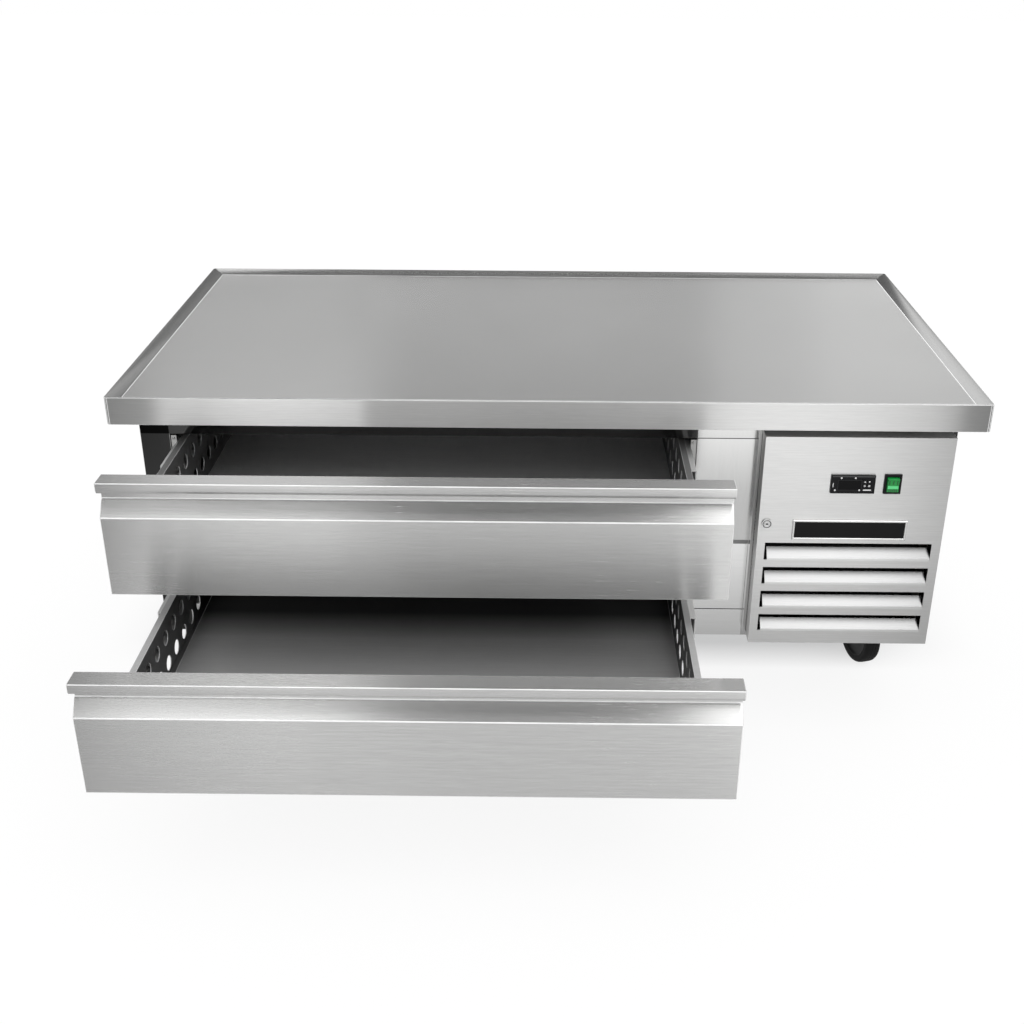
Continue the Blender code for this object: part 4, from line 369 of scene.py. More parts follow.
M = {
    "top": brushed("top_steel", TOP_STEEL, 0.23, also_turned=on_side_rims, upright=0.14,
                   profile=("worktop", EDGE_PAINTED_LIGHT, FACE_FINISH)),
    "front": brushed("front_steel", STEEL, 0.26, profile=("upper_drawer_front", FRONT_PAINTED_SHADE, 1.0)),
    # Painted shade: the panel is darker toward its bottom
    "panel": brushed("panel_steel", PANEL_STEEL, 0.3, painted_shades=(("Z", 0.235, 0.42, 0.86),)),
    # Painted shade: the louvre vanes' leaning faces take a darker copy of the panel's steel
    "vane": brushed("shaded_vane_steel", SHADED_VANE_STEEL, 0.26),
    # Painted shade: the frame's left stile and its top rail over the drawers are dark
    "frame": brushed("frame_steel", PANEL_STEEL, 0.12, "Z", "X", **GROUND,
                     painted_shades=(("X", -0.679, -0.678, 0.08), ("Z", 0.5848, 0.5845, 0.12))),
    "collar": brushed("collar_steel", STEEL, 0.12, "Z", "X", **GROUND),
    # Painted light: the lower stile and bottom rail covers take a lighter copy of the frame's steel
    "rail": brushed("lit_rail_steel", LIT_RAIL_STEEL, 0.14, "X", "Z", **GROUND),
    "side": brushed("side_steel", STEEL, 0.36, "Y", "X"),
    "liner": brushed("liner_steel", DULL_STEEL, 0.45, stretch=0.5, metallic=0.5),
    # Painted light: the drawers' inner panels are a lighter steel, lighter at their left ends than to the right
    "inner": brushed("inner_steel", LIT_INNER_STEEL, 0.36, metallic=0.6, painted_shades=(("X", -0.28, -0.38, 0.66),)),
    # Painted shade: the drawer boxes' side walls are darker, and so is the top of the upper box's flange
    "upper_box": brushed("upper_box_steel", UPPER_BOX_STEEL, 0.5, stretch=0.4, metallic=0.4, ends=0.17,
                         painted_shades=(("Z", 0.5812, 0.5808, 0.22),)),
    "lower_box": brushed("lower_box_steel", BOX_STEEL, 0.5, stretch=0.4, metallic=0.4, ends=0.22,
                         painted_shades=(("Y", LOWER_FADE_END, LOWER_FADE_START, 0.12),)),
    "slide": brushed("slide_steel", (0.74, 0.74, 0.735), 0.32, "Y", "Z", stretch=0.6, metallic=0.4),
    "zinc": grained("zinc_plate", (0.58, 0.58, 0.57), 0.3, 700.0, 0.00002, metallic=1.0),
    "galvanised": spangled("galvanised_sheet", (0.52, 0.54, 0.55), 0.46),
    "aluminium": brushed("fin_aluminium", (0.62, 0.63, 0.64), 0.38, "Z", "Y"),
    "copper": grained("drawn_copper", (0.78, 0.4, 0.24), 0.3, 400.0, 0.00002, metallic=1.0),
    "enamel": grained("black_enamel", grey(0.014), 0.34, 500.0, 0.00005, specular=0.35),
    "fins": grained("coated_fins", grey(0.008), 0.55, 700.0, 0.00003, specular=0.2),
    "plastic": grained("black_plastic", (0.008, 0.008, 0.009), 0.34, 1800.0, 0.00003, specular=0.15),
    "plate": grained("black_plate", grey(0.008), 0.3, 1500.0, 0.00001, spread=0.05, specular=0.14),
    "key": grained("dark_key", (0.03, 0.03, 0.032), 0.42, 1800.0, 0.00002, specular=0.25),
    "mark": grained("white_mark", grey(0.84), 0.5, 1500.0, 0.00001, specular=0.3),
    "lens": grained("smoked_window", (0.003, 0.003, 0.0035), 0.06, 60.0, 0.0, spread=0.03, specular=0.12),
    "green": grained("green_rocker", (0.012, 0.3, 0.055), 0.2, 1500.0, 0.00001, spread=0.06),
    "rubber": grained("black_rubber", grey(0.01), 0.6, 900.0, 0.00006, specular=0.2),
    "core": grained("wheel_core", grey(0.009), 0.42, 900.0, 0.00004, specular=0.25),
    "gasket": grained("grey_gasket", (0.17, 0.17, 0.175), 0.58, 600.0, 0.00004),
    # A pale, mostly matt finish for fold strips and the lock's rings: a painted highlight
    "edge": grained("painted_highlight_edge", grey(0.95), 0.24, 900.0, 0.00001, metallic=0.3, spread=0.04),
    "bright": grained("polished_zinc", (0.82, 0.82, 0.81), 0.18, 900.0, 0.00001, metallic=0.7, spread=0.04),
    "cap": grained("worn_plastic", (0.06, 0.06, 0.062), 0.4, 1800.0, 0.00002, specular=0.3),
    "leaf": grained("dark_green", (0.003, 0.075, 0.016), 0.3, 1500.0, 0.00001, spread=0.06),
    # A pale green band on the rocker: a painted highlight
    "glow": grained("painted_highlight_green", (0.12, 0.74, 0.26), 0.25, 1500.0, 0.00001, spread=0.06),
    "foam": grained("rigid_foam", (0.74, 0.64, 0.38), 0.9, 260.0, 0.0006),
    "wire": grained("wire_sleeve", (0.02, 0.02, 0.022), 0.5, 900.0, 0.00003),
}

# The nodes that take each finish, and the finish of those that have a word in their name
FINISH_NODES = {
    "top": "worktop",
    "side": "left_side_panel right_side_panel",
    "frame": "face_frame",
    "panel": "access_panel",
    "front": "upper_drawer_front lower_drawer_front",
    "liner": "inner_liner evaporator_shroud",
    "collar": "machine_bay_collar",
    "inner": "upper_drawer_inner_panel lower_drawer_inner_panel",
    "upper_box": "upper_drawer_box",
    "lower_box": "lower_drawer_box",
    "galvanised": "back_panel base_pan base_frame condensing_unit_base",
    "aluminium": "evaporator_fan condenser_fan evaporator_coil",
    "fins": "condenser_coil",
    "enamel": "compressor condenser_shroud condenser_fan_motor evaporator_fan_motor",
    "plastic": "controller_housing switch_housing",
    "plate": "nameplate",
    "lens": "display_lens",
    "green": "switch_rocker",
    "foam": "insulation",
    "gasket": "upper_drawer_gasket lower_drawer_gasket",
    "zinc": "lock_barrel lock_plug_and_cam",
}
FINISH_WORDS = {"key_": "key", "caster_wheel_": "rubber", "caster_fork_": "zinc", "_slide_": "slide"}
# Sheet parts whose folds carry a painted highlight: a pale, half matt strip along each fold
PAINTED_HIGHLIGHT_FOLDS = ("worktop", "upper_drawer_front", "lower_drawer_front", "upper_drawer_box", "lower_drawer_box",
                "access_panel")
# The rounding of the CAD edges that show
NODE_BEVELS = {
    "worktop": 0.0009, "face_frame": 0.0003, "access_panel": 0.0005, "compressor": 0.001,
    "upper_drawer_front": 0.0012, "lower_drawer_front": 0.0012, "upper_drawer_box": 0.0006, "lower_drawer_box": 0.0006,
    "controller_housing": 0.0012, "switch_housing": 0.0008, "switch_rocker": 0.0008, "lock_barrel": 0.0004,
    "nameplate": 0.0003,
}


def dress(node, material):
    """Gives a CAD node its finish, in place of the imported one."""
    if not node.material_slots:
        node.data.materials.append(material)
    for slot in node.material_slots:
        slot.link = "OBJECT"
        slot.material = material
    node.data.shade_smooth()
    node.data.set_sharp_from_angle(angle=SHARP_ANGLE)


def soften(obj, width, angle=SHARP_ANGLE):
    """Rounds an object's sharp edges a little, as a fold or a moulded edge is."""
    modifier = obj.modifiers.new("soft_edges", "BEVEL")
    modifier.width = width
    modifier.segments = 2
    modifier.limit_method = "ANGLE"
    modifier.angle_limit = angle
    modifier.use_clamp_overlap = True
    modifier.harden_normals = True
    return modifier


def whole(node):
    """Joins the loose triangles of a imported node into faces, so that its edges can be rounded."""
    if "custom_normal" in node.data.attributes:
        node.data.attributes.remove(node.data.attributes["custom_normal"])
    weld = node.modifiers.new("joined_corners", "WELD")
    weld.merge_threshold = WELD_REACH
    faces = node.modifiers.new("whole_faces", "DECIMATE")
    faces.decimate_type = "DISSOLVE"
    faces.angle_limit = FLAT_ANGLE


def dress_nodes():
    finishes = {name: finish for finish, names in FINISH_NODES.items() for name in names.split()}
    for name in NODES:
        node = NODES[name]
        finish = finishes.get(name) or next(finish for word, finish in FINISH_WORDS.items() if word in name)
        dress(node, M[finish])
        if name in NODE_BEVELS:
            whole(node)
            modifier = soften(node, NODE_BEVELS[name], FOLD_ANGLE if name == "worktop" else SHARP_ANGLE)
            if name in PAINTED_HIGHLIGHT_FOLDS:
                # The strips that the rounding adds take the pale edge finish: a painted highlight
                node.data.materials.append(M["edge"])
                modifier.material = len(node.data.materials) - 1


# Shapes that the added pieces are made of

TO_FRONT = (0, -1, 0)
TO_BACK = (0, 1, 0)
TO_LEFT = (-1, 0, 0)
UP = (0, 0, 1)
DOWN = (0, 0, -1)


def aimed(place, axis):
    """A frame at a place whose Z runs along an axis."""
    turn = Vector(axis).to_track_quat("Z", "Y").to_matrix().to_4x4()
    return Matrix.Translation(Vector(place)) @ turn


def middle_of(name):
    low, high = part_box(name)
    return (Vector(low) + Vector(high)) / 2


def front_middle(name):
    """The middle of the front face of a node's box."""
    low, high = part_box(name)
    return (low[0] + high[0]) / 2, low[1], (low[2] + high[2]) / 2


def circle(radius, sides):
    angles = [math.tau * step / sides for step in range(sides)]
    return [(radius * math.cos(angle), radius * math.sin(angle)) for angle in angles]


def rectangle(left, bottom, right, top):
    return (left, bottom), (right, bottom), (right, top), (left, top)


def mirrored(half):
    """A section of (radius, height) points from its lower half."""
    return half + tuple((radius, -height) for radius, height in reversed(half))


def add_skin(bm, loops, ring=False):
    """Joins loops of points into a closed skin: capped at its ends, or run round into a ring."""
    rows = [[bm.verts.new(point) for point in loop] for loop in loops]
    pairs = list(zip(rows, rows[1:]))
    if ring:
        pairs.append((rows[-1], rows[0]))
    else:
        bm.faces.new(rows[0][::-1])
        bm.faces.new(rows[-1])
    for first, second in pairs:
        for index in range(len(first)):
            after = (index + 1) % len(first)
            bm.faces.new((first[index], first[after], second[after], second[index]))


def add_turned(bm, profile, stand, sides, ring=False):
    """A turned form: a profile of (radius, height) about the Z of a frame."""
    add_skin(bm, [[stand @ Vector((x, y, height)) for x, y in circle(radius, sides)]
                  for radius, height in profile], ring)


def add_ring(bm, profile, stand, sides):
    add_turned(bm, profile, stand, sides, ring=True)


def add_slab(bm, low, high):
    corners = rectangle(low[0], low[1], high[0], high[1])
    add_skin(bm, [[(x, y, z) for x, y in corners] for z in (low[2], high[2])])


def add_frame(bm, low, high, section):
    """A rectangular frame that looks to the front, with a section of (inset, y) points."""
    add_skin(bm, [[(x, y, z) for x, z in rectangle(low[0] + inset, low[2] + inset, high[0] - inset, high[2] - inset)]
                  for inset, y in section], ring=True)


# The most of a run that a bend at its end may take, and the steps of a bend
BEND_SHARE = 0.49
BEND_STEPS = 6


def rounded_path(points, radius):
    """A path of straight runs with its corners bent to a radius."""
    points = [Vector(point) for point in points]
    path = [points[0]]
    for before, corner, after in zip(points, points[1:], points[2:]):
        into, out = (corner - before).normalized(), (after - corner).normalized()
        half = into.angle(out) / 2
        runs = [BEND_SHARE * run.length for run in (corner - before, after - corner)]
        reach = min(radius * math.tan(half), *runs)
        start, end = corner - into * reach, corner + out * reach
        for step in range(BEND_STEPS + 1):
            share = step / BEND_STEPS
            path.append((1 - share) ** 2 * start + 2 * share * (1 - share) * corner + share ** 2 * end)
    path.append(points[-1])
    return path


def add_tube(bm, path, radius, sides=12):
    """A round tube along a path, its section carried along without twist."""
    path = [Vector(place) for place in path]
    tangents = [(after - before).normalized() for before, after in
                zip([path[0], *path[:-1]], [*path[1:], path[-1]])]
    side = tangents[0].orthogonal().normalized()
    loops = []
    for place, tangent in zip(path, tangents):
        side = (side - tangent * side.dot(tangent)).normalized()
        over = tangent.cross(side)
        loops.append([place + side * x + over * y for x, y in circle(radius, sides)])
    add_skin(bm, loops)


# A screw's head and the recess in it, in shares of its radius
CROSS_ARM = 0.52
CROSS_HALF_WIDTH = 0.13
HEAD_SECTION = ((1.0, -0.2), (1.0, 0.22), (0.86, 0.46), (0.62, 0.56))
RECESS_SECTION = ((1.0, 0.56), (0.8, 0.16))


def add_screw(bm, place, axis, radius):
    """A pan-head screw with a cross recess, its head standing on the surface it holds."""
    stand = aimed(place, axis)
    arm, half = CROSS_ARM * radius, CROSS_HALF_WIDTH * radius
    cross = []
    for turn in range(4):
        angle = turn * math.pi / 2
        for x, y in ((arm, half), (half, half), (half, arm)):
            cross.append((x * math.cos(angle) - y * math.sin(angle), x * math.sin(angle) + y * math.cos(angle)))
    angles = [math.atan2(y, x) for x, y in cross]
    loops = [[stand @ Vector((share * radius * math.cos(a), share * radius * math.sin(a), height * radius))
              for a in angles] for share, height in HEAD_SECTION]
    for share, height in RECESS_SECTION:
        loops.append([stand @ Vector((share * x, share * y, height * radius)) for x, y in cross])
    add_skin(bm, loops)


# A washer as (share of its radius, rise), the hexagon's foot on it, and shares of the hexagon's radius and height
WASHER_SHARE = 0.72
WASHER_SECTION = ((1.0, -0.0002), (1.0, 0.001), (0.97, 0.0012))
HEX_FOOT = 0.0011
HEX_SECTION = ((1.0, 0.85), (0.86, 1.0))


def add_hex(bm, place, axis, across, height):
    """A hexagon head or nut on a washer, with its corners turned down."""
    stand = aimed(place, axis)
    washer, corner = WASHER_SHARE * across, across / math.sqrt(3.0)
    add_turned(bm, [(share * washer, rise) for share, rise in WASHER_SECTION], stand, 24)
    levels = ((1.0, HEX_FOOT), *((share, part * height) for share, part in HEX_SECTION))
    add_skin(bm, [[stand @ Vector((x, y, level)) for x, y in circle(share * corner, 6)] for share, level in levels])


def make(name, material, body, *shapes, bevel=0.0, replaces=()):
    """Builds a piece of shapes, each a function and what it takes after the mesh, and rides it on a body."""
    bm = bmesh.new()
    for add, *given in shapes:
        add(bm, *given)
    bmesh.ops.recalc_face_normals(bm, faces=bm.faces)
    mesh = bpy.data.meshes.new(name)
    bm.to_mesh(mesh)
    bm.free()
    piece = placed(name, mesh)
    mesh.materials.append(M[material])
    mesh.shade_smooth()
    mesh.set_sharp_from_angle(angle=SHARP_ANGLE)
    if bevel:
        soften(piece, bevel)
    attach(piece, body)
    if replaces:
        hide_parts(*replaces)


# Door gaskets: a hollow bellows strip with a magnet bulb, mitred round each drawer

GASKET_WIDTH = 0.018
# The section's points as shares of its width, from the outer edge in, and of its thickness
GASKET_SECTION = (
    (0.06, 0.0), (0.94, 0.0), (0.97, 0.1), (0.9, 0.22), (0.76, 0.3), (0.9, 0.4), (0.98, 0.55),
    (0.98, 0.82), (0.9, 0.97), (0.76, 1.0), (0.24, 1.0), (0.1, 0.97), (0.02, 0.82), (0.02, 0.55),
    (0.1, 0.4), (0.24, 0.3), (0.1, 0.22), (0.03, 0.1),
)


def make_gasket(level):
    low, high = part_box(level + "_drawer_gasket")
    section = [(inward * GASKET_WIDTH, low[1] + deep * (high[1] - low[1])) for inward, deep in GASKET_SECTION]
    make(level + "_drawer_bellows_gasket", "gasket", level + "_drawer", (add_frame, low, high, section),
         replaces=[level + "_drawer_gasket"])


# Casters: (radius, place along the axle) round the lower half of the tyre and of its core

TYRE_SECTION = mirrored((
    (0.047, -0.0142), (0.052, -0.0152), (0.057, -0.0157), (0.0602, -0.0145), (0.0618, -0.0118),
    (0.0624, -0.008), (0.0625, -0.0046), (0.0619, -0.004), (0.0619, -0.003), (0.0625, -0.0024),
))
CORE_SECTION = mirrored((
    (0.0054, -0.0178), (0.015, -0.0178), (0.0168, -0.0168), (0.0172, -0.0118), (0.02, -0.0108),
    (0.04, -0.0108), (0.044, -0.0122), (0.0462, -0.0146), (0.0474, -0.0148), (0.0478, -0.012),
))
RACE_SECTION = ((0.0215, 0.14), (0.0262, 0.1412), (0.0276, 0.144), (0.0276, 0.1476), (0.0262, 0.1504),
                (0.0215, 0.1516))
CORNERS = ("front_right", "front_left", "back_right", "back_left")
WHEEL_SIDES = 72
RACE_SIDES = 40
STEM_X = 0.6714
FRONT_STEM_Y = 0.0468
BACK_STEM_Y = 0.4943
FORK_OUTSIDE = 0.023
AXLE_NUT = (0.013, 0.0085)
PLATE_UNDERSIDE = 0.154
PLATE_BOLT_X = 0.028
PLATE_BOLT_Y = 0.0375
PLATE_BOLT = (0.009, 0.0034)


def make_caster(corner):
    wheel, fork = "caster_wheel_" + corner, "caster_fork_" + corner
    middle, axis = middle_of(wheel), AXES["roll_" + corner]
    stand = aimed(middle, axis)
    make(wheel + "_tyre", "rubber", wheel, (add_ring, TYRE_SECTION, stand, WHEEL_SIDES), replaces=[wheel])
    make(wheel + "_core", "core", wheel, (add_ring, CORE_SECTION, stand, WHEEL_SIDES))
    make(fork + "_axle_nuts", "zinc", fork, *[
        (add_hex, middle + side * FORK_OUTSIDE * axis, side * axis, *AXLE_NUT) for side in (-1, 1)])
    # The dust ring round the swivel, and the bolts that hold the plate
    x = -STEM_X if corner.endswith("left") else STEM_X
    y = FRONT_STEM_Y if corner.startswith("front") else BACK_STEM_Y
    make("caster_race_" + corner, "bright", fork,
         (add_ring, RACE_SECTION, Matrix.Translation((x, y, 0.0)), RACE_SIDES))
    make("caster_bolts_" + corner, "zinc", "cabinet", *[
        (add_hex, (x + across, y + along, PLATE_UNDERSIDE), DOWN, *PLATE_BOLT)
        for along in (-PLATE_BOLT_Y, PLATE_BOLT_Y) for across in (-PLATE_BOLT_X, PLATE_BOLT_X)])


# The access panel: what its controller, switch, plate and lock show

MARK_PROUD = 0.00012
MILLIMETRE = 0.001
# Marks on the keys, as outlines in millimetres from each key's middle
KEY_MARKS = {
    "key_up": (((-1.9, -1.2), (1.9, -1.2), (0.0, 1.5)),),
    "key_down": (((-1.9, 1.2), (0.0, -1.5), (1.9, 1.2)),),
    "key_defrost": (rectangle(-1.9, -0.45, 1.9, 0.45), rectangle(-0.45, -1.9, 0.45, -0.6),
                    rectangle(-0.45, 0.6, 0.45, 1.9)),
    "key_set": (rectangle(-1.9, -1.5, 1.9, -0.4), rectangle(-1.9, 0.4, 1.9, 1.5)),
}
# Plain light bars on the controller: one under its keys and one at its left
CONTROLLER_BARS = (((0.558, 0.5128), (0.5722, 0.515)), ((0.504, 0.519), (0.5052, 0.527)))
CONTROLLER_LAMPS = ((0.5183, 0.5368), (0.543, 0.537), (0.5086, 0.5132), (0.5516, 0.5136))
LAMP_SECTION = ((0.0016, -0.0002), (0.0016, 0.0002), (0.00112, 0.0004))
CAP_INSET = 0.0018
CAP_RUN = (0.0034, 0.001)
# Sections of frames: how far in from the outline, and how far behind the front
WINDOW_RIM = ((-0.0007, 0.0002), (-0.0007, -0.0003), (0.0, -0.0003), (0.0, 0.0002))
PLATE_BORDER = ((-0.0004, 0.0018), (-0.0004, -0.0001), (0.0004, -0.0008), (0.0028, -0.0008), (0.0034, -0.0001),
                (0.0034, 0.0009), (0.003, 0.0009))


def add_marks(bm, marks, place):
    """Thin raised marks on a surface that looks to the front."""
    stand = Matrix.Translation(Vector(place)) @ Matrix.Rotation(math.pi / 2, 4, "X")
    for mark in marks:
        add_skin(bm, [[stand @ Vector((MILLIMETRE * a, MILLIMETRE * b, height)) for a, b in mark]
                      for height in (-MARK_PROUD, MARK_PROUD)])


def make_controller():
    for key, marks in KEY_MARKS.items():
        make(key + "_mark", "mark", key, (add_marks, marks, front_middle(key)))
    low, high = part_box("controller_housing")
    front, back = low[1] - MARK_PROUD, low[1] + MARK_PROUD
    make("controller_lamps", "mark", "panel", *[
        (add_turned, LAMP_SECTION, aimed((x, low[1], z), TO_FRONT), 16) for x, z in CONTROLLER_LAMPS])
    make("controller_bars", "mark", "panel", *[
        (add_slab, (left, front, bottom), (right, back, top)) for (left, bottom), (right, top) in CONTROLLER_BARS])
    make("controller_cap", "cap", "panel", (
        add_slab, (low[0] + CAP_INSET, front, high[2] - CAP_RUN[0]), (high[0] - CAP_INSET, back, high[2] - CAP_RUN[1])
    ), bevel=0.0001)
    rim = [(inset, low[1] + deep) for inset, deep in WINDOW_RIM]
    make("controller_window_rim", "key", "panel", (add_frame, *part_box("display_lens"), rim))


# The rocker's two faces meet in its middle: (y, z) from its pivot, turned with it
ROCKER_MIDDLE = (-0.00796, -0.00084)
ROCKER_LOW = (-0.00877, -0.0141)
ROCKER_HIGH = (-0.01151, 0.01196)
ROCKER_PIVOT = (-0.1753, 0.52475)
ROCKER_HALF = 0.0106
ROCKER_RIBS = 5
RIB_PROUD = 0.0002
BAND_PROUD = 0.00025
BAND_INSETS = (0.0018, 0.001)
SIDE_RIB = 0.0012
FIRST_RIB = 0.0032
RIB_MARGIN = 0.004
# Rows of ribs: which face, every how many ribs, the stretch of the face and the share of the pitch
RIB_ROWS = ((ROCKER_LOW, 1, 0.6, 0.94, 0.5), (ROCKER_HIGH, 2, 0.1, 0.78, 0.4))


def add_on_rocker(bm, end, start_share, end_share, left, right, proud):
    """A thin plate on one of the rocker's faces, between two shares of the way to its end."""
    along = Vector((0.0, end[0] - ROCKER_MIDDLE[0], end[1] - ROCKER_MIDDLE[1]))
    out = Vector((0.0, -abs(along.z), math.copysign(1.0, along.z) * along.y)).normalized()
    foot = Vector((0.0, ROCKER_PIVOT[0] + ROCKER_MIDDLE[0], ROCKER_PIVOT[1] + ROCKER_MIDDLE[1]))
    add_skin(bm, [[foot + Vector((x, 0.0, 0.0)) + share * along + depth * out
                   for x, share in rectangle(left, start_share, right, end_share)] for depth in (-proud, proud)])


def make_rocker():
    """The pale band of the switch's rocker, a painted highlight, and its ribs."""
    middle = front_middle("switch_rocker")[0]
    left, right = middle - ROCKER_HALF, middle + ROCKER_HALF
    make("rocker_painted_highlight", "glow", "rocker",
         (add_on_rocker, ROCKER_LOW, 0.1, 0.52, left + BAND_INSETS[0], right - BAND_INSETS[1], BAND_PROUD))
    ribs = [(add_on_rocker, end, 0.05, 0.98, left, left + SIDE_RIB, RIB_PROUD) for end in (ROCKER_HIGH, ROCKER_LOW)]
    pitch = (right - left - RIB_MARGIN) / ROCKER_RIBS
    for end, step, start_share, end_share, width in RIB_ROWS:
        for rib in range(0, ROCKER_RIBS, step):
            x = left + FIRST_RIB + rib * pitch
            ribs.append((add_on_rocker, end, start_share, end_share, x, x + width * pitch, RIB_PROUD))
    make("rocker_ribs", "leaf", "rocker", *ribs)


# The lock's rings: piece, finish, body, inner and outer radius, and rise. The rim, collar and cap are real bright
# rings in the pale edge finish, partly a painted highlight; the shade ring is a painted shade
LOCK_RINGS = (
    ("lock_rim", "edge", "panel", 0.0078, 0.0094, 0.0008),
    ("lock_shade", "plastic", "panel", 0.0063, 0.0078, 0.0001),
    ("lock_collar", "edge", "panel", 0.0052, 0.0063, 0.0006),
    ("lock_cap", "edge", "lock_plug", 0.0024, 0.0042, 0.0006),
)
LOCK_SLOT = (0.0028, 0.0012)
LOCK_SIDES = 40
LOCK_SINK = 0.0002


def make_lock():
    x, front, z = front_middle("lock_barrel")
    stand = aimed((x, front, z), TO_FRONT)
    for name, material, body, inner, outer, rise in LOCK_RINGS:
        slope = 0.2 * (outer - inner)
        section = ((inner, -LOCK_SINK), (inner, 0.8 * rise), (inner + slope, rise), (outer - slope, rise),
                   (outer, 0.6 * rise), (outer, -LOCK_SINK))
        make(name, material, body, (add_ring, section, stand, LOCK_SIDES))
    make("lock_keyway", "plastic", "lock_plug",
         (add_slab, (x - LOCK_SLOT[0], front - 0.0003, z - LOCK_SLOT[1]), (x + LOCK_SLOT[0], front, z + LOCK_SLOT[1])),
         bevel=0.0002)


def make_plate_border():
    """The bright raised edge of the bare plate."""
    low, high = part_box("nameplate")
    section = [(inset, low[1] + deep) for inset, deep in PLATE_BORDER]
    make("nameplate_border", "bright", "panel", (add_frame, low, high, section))


# Louvres: each vane's upright lip and its leaning face, as (y, z) from the foot

VANE_LEFT = 0.4008
VANE_RIGHT = 0.6956
VANE_FOOT_Y = -0.1781
VANE_PITCH = 0.0497
VANE_FIRST_FOOT = 0.371
VANE_COUNT = 4
VANE_SKIN = 0.0004
LIP_RUN = ((0.0, 0.0), (0.0, 0.003), (0.0004, 0.0041))
FACE_RUN = ((0.0004, 0.0041), (0.001, 0.005), (0.015, 0.0195))


def make_vanes():
    for vane in range(VANE_COUNT):
        foot = VANE_FIRST_FOOT - vane * VANE_PITCH
        for part, material, run in (("lip", "panel", LIP_RUN), ("face", "vane", FACE_RUN)):
            section = [*run, *((y + VANE_SKIN, z) for y, z in reversed(run))]
            make(f"louvre_{part}_{vane + 1}", material, "panel", (add_skin, [
                [(x, VANE_FOOT_Y + y, foot + z) for y, z in section] for x in (VANE_LEFT, VANE_RIGHT)]))


# Rails and stiles over the face frame, right of the drawers, with the seams between them

STILE_LEFT = 0.2684
STILE_RIGHT = 0.3738
COVER_SHEET = 0.0003
SEAM_SHEET = 0.0001
HEAD_GAP = 0.0005
COVER_TOP = 0.654
COVER_BEVEL = 0.0001
# Piece, finish, thickness, bottom and top
COVER_STRETCHES = (
    ("top_rail_cover", "collar", COVER_SHEET, 0.5855, COVER_TOP),
    ("middle_stile_cover", "frame", COVER_SHEET, 0.3818, 0.5841),
    ("lower_stile_cover", "rail", COVER_SHEET, 0.235, 0.3735),
    ("bottom_rail_cover", "rail", COVER_SHEET, 0.1775, 0.2332),
    # A joint between the stile covers, dark steel as a painted shade line
    ("stile_joint_and_shade", "liner", SEAM_SHEET, 0.3735, 0.3818),
    ("lower_stile_seam", "plastic", SEAM_SHEET, 0.2332, 0.235),
    ("upper_stile_seam", "plastic", SEAM_SHEET, 0.5841, 0.5855),
)


def make_frame_covers():
    low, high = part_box("face_frame")
    front = low[1]
    for name, material, sheet, bottom, top in COVER_STRETCHES:
        make(name, material, "cabinet", (add_slab, (STILE_LEFT, front - sheet, bottom), (STILE_RIGHT, front, top)),
             bevel=COVER_BEVEL)
    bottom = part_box("access_panel")[1][2] + HEAD_GAP
    make("head_rail_cover", "collar", "cabinet",
         (add_slab, (STILE_RIGHT, front - COVER_SHEET, bottom), (high[0], front, COVER_TOP)), bevel=COVER_BEVEL)


# Screws round the back panel

SCREW_RADIUS = 0.004
BACK_SCREW_INSET = 0.012
LAST_COLUMN = 8
LAST_ROW = 3


def make_back_screws():
    low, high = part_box("back_panel")
    left, right = low[0] + BACK_SCREW_INSET, high[0] - BACK_SCREW_INSET
    bottom, top = low[2] + BACK_SCREW_INSET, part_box("worktop")[0][2] - BACK_SCREW_INSET
    screws = []
    for column in range(LAST_COLUMN + 1):
        for row in range(LAST_ROW + 1):
            if row in (0, LAST_ROW) or column in (0, LAST_COLUMN):
                x = left + (right - left) * column / LAST_COLUMN
                z = bottom + (top - bottom) * row / LAST_ROW
                screws.append((add_screw, (x, high[1], z), TO_BACK, SCREW_RADIUS))
    make("back_panel_screws", "zinc", "cabinet", *screws)


# Slides: the bracket that hangs each on the frame, beside its front end

BRACKET_SHEET = 0.0012
BRACKET_GAP = 0.0006
BRACKET_OVER = 0.01
BRACKET_UNDER = 0.028
BRACKET_SCREW = 0.0028
BRACKET_SCREW_RISES = (0.006, 0.004)


def make_slide_bracket(level, side):
    low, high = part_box(f"{level}_outer_slide_{side}")
    back = low[1] - BRACKET_GAP
    front = back - BRACKET_SHEET
    make(f"{level}_slide_bracket_{side}", "zinc", "cabinet",
         (add_slab, (low[0], front, low[2] - BRACKET_UNDER), (high[0], back, high[2] + BRACKET_OVER)), bevel=0.0004)
    x = (low[0] + high[0]) / 2
    make(f"{level}_bracket_screws_{side}", "zinc", "cabinet", *[
        (add_screw, (x, front, z), TO_FRONT, BRACKET_SCREW)
        for z in (low[2] + BRACKET_SCREW_RISES[0], high[2] + BRACKET_SCREW_RISES[1])])


# Fans: wire guards, and the nut that holds the condenser fan

GUARD_WIRE = 0.0011
GUARD_BEND = 0.003
GUARD_SIDES = 48
SPOKE_START = 0.8
FAN_NUT = (0.01, 0.006)
CONDENSER_GUARD = (0.028, 0.048, 0.068, 0.088, 0.106)
CONDENSER_REACH = 0.109
CONDENSER_GUARD_Y = -0.01
EVAPORATOR_GUARD = (0.014, 0.028, 0.042, 0.055)
EVAPORATOR_REACH = 0.06
EVAPORATOR_STAND = 0.0016
SPOKES = 6


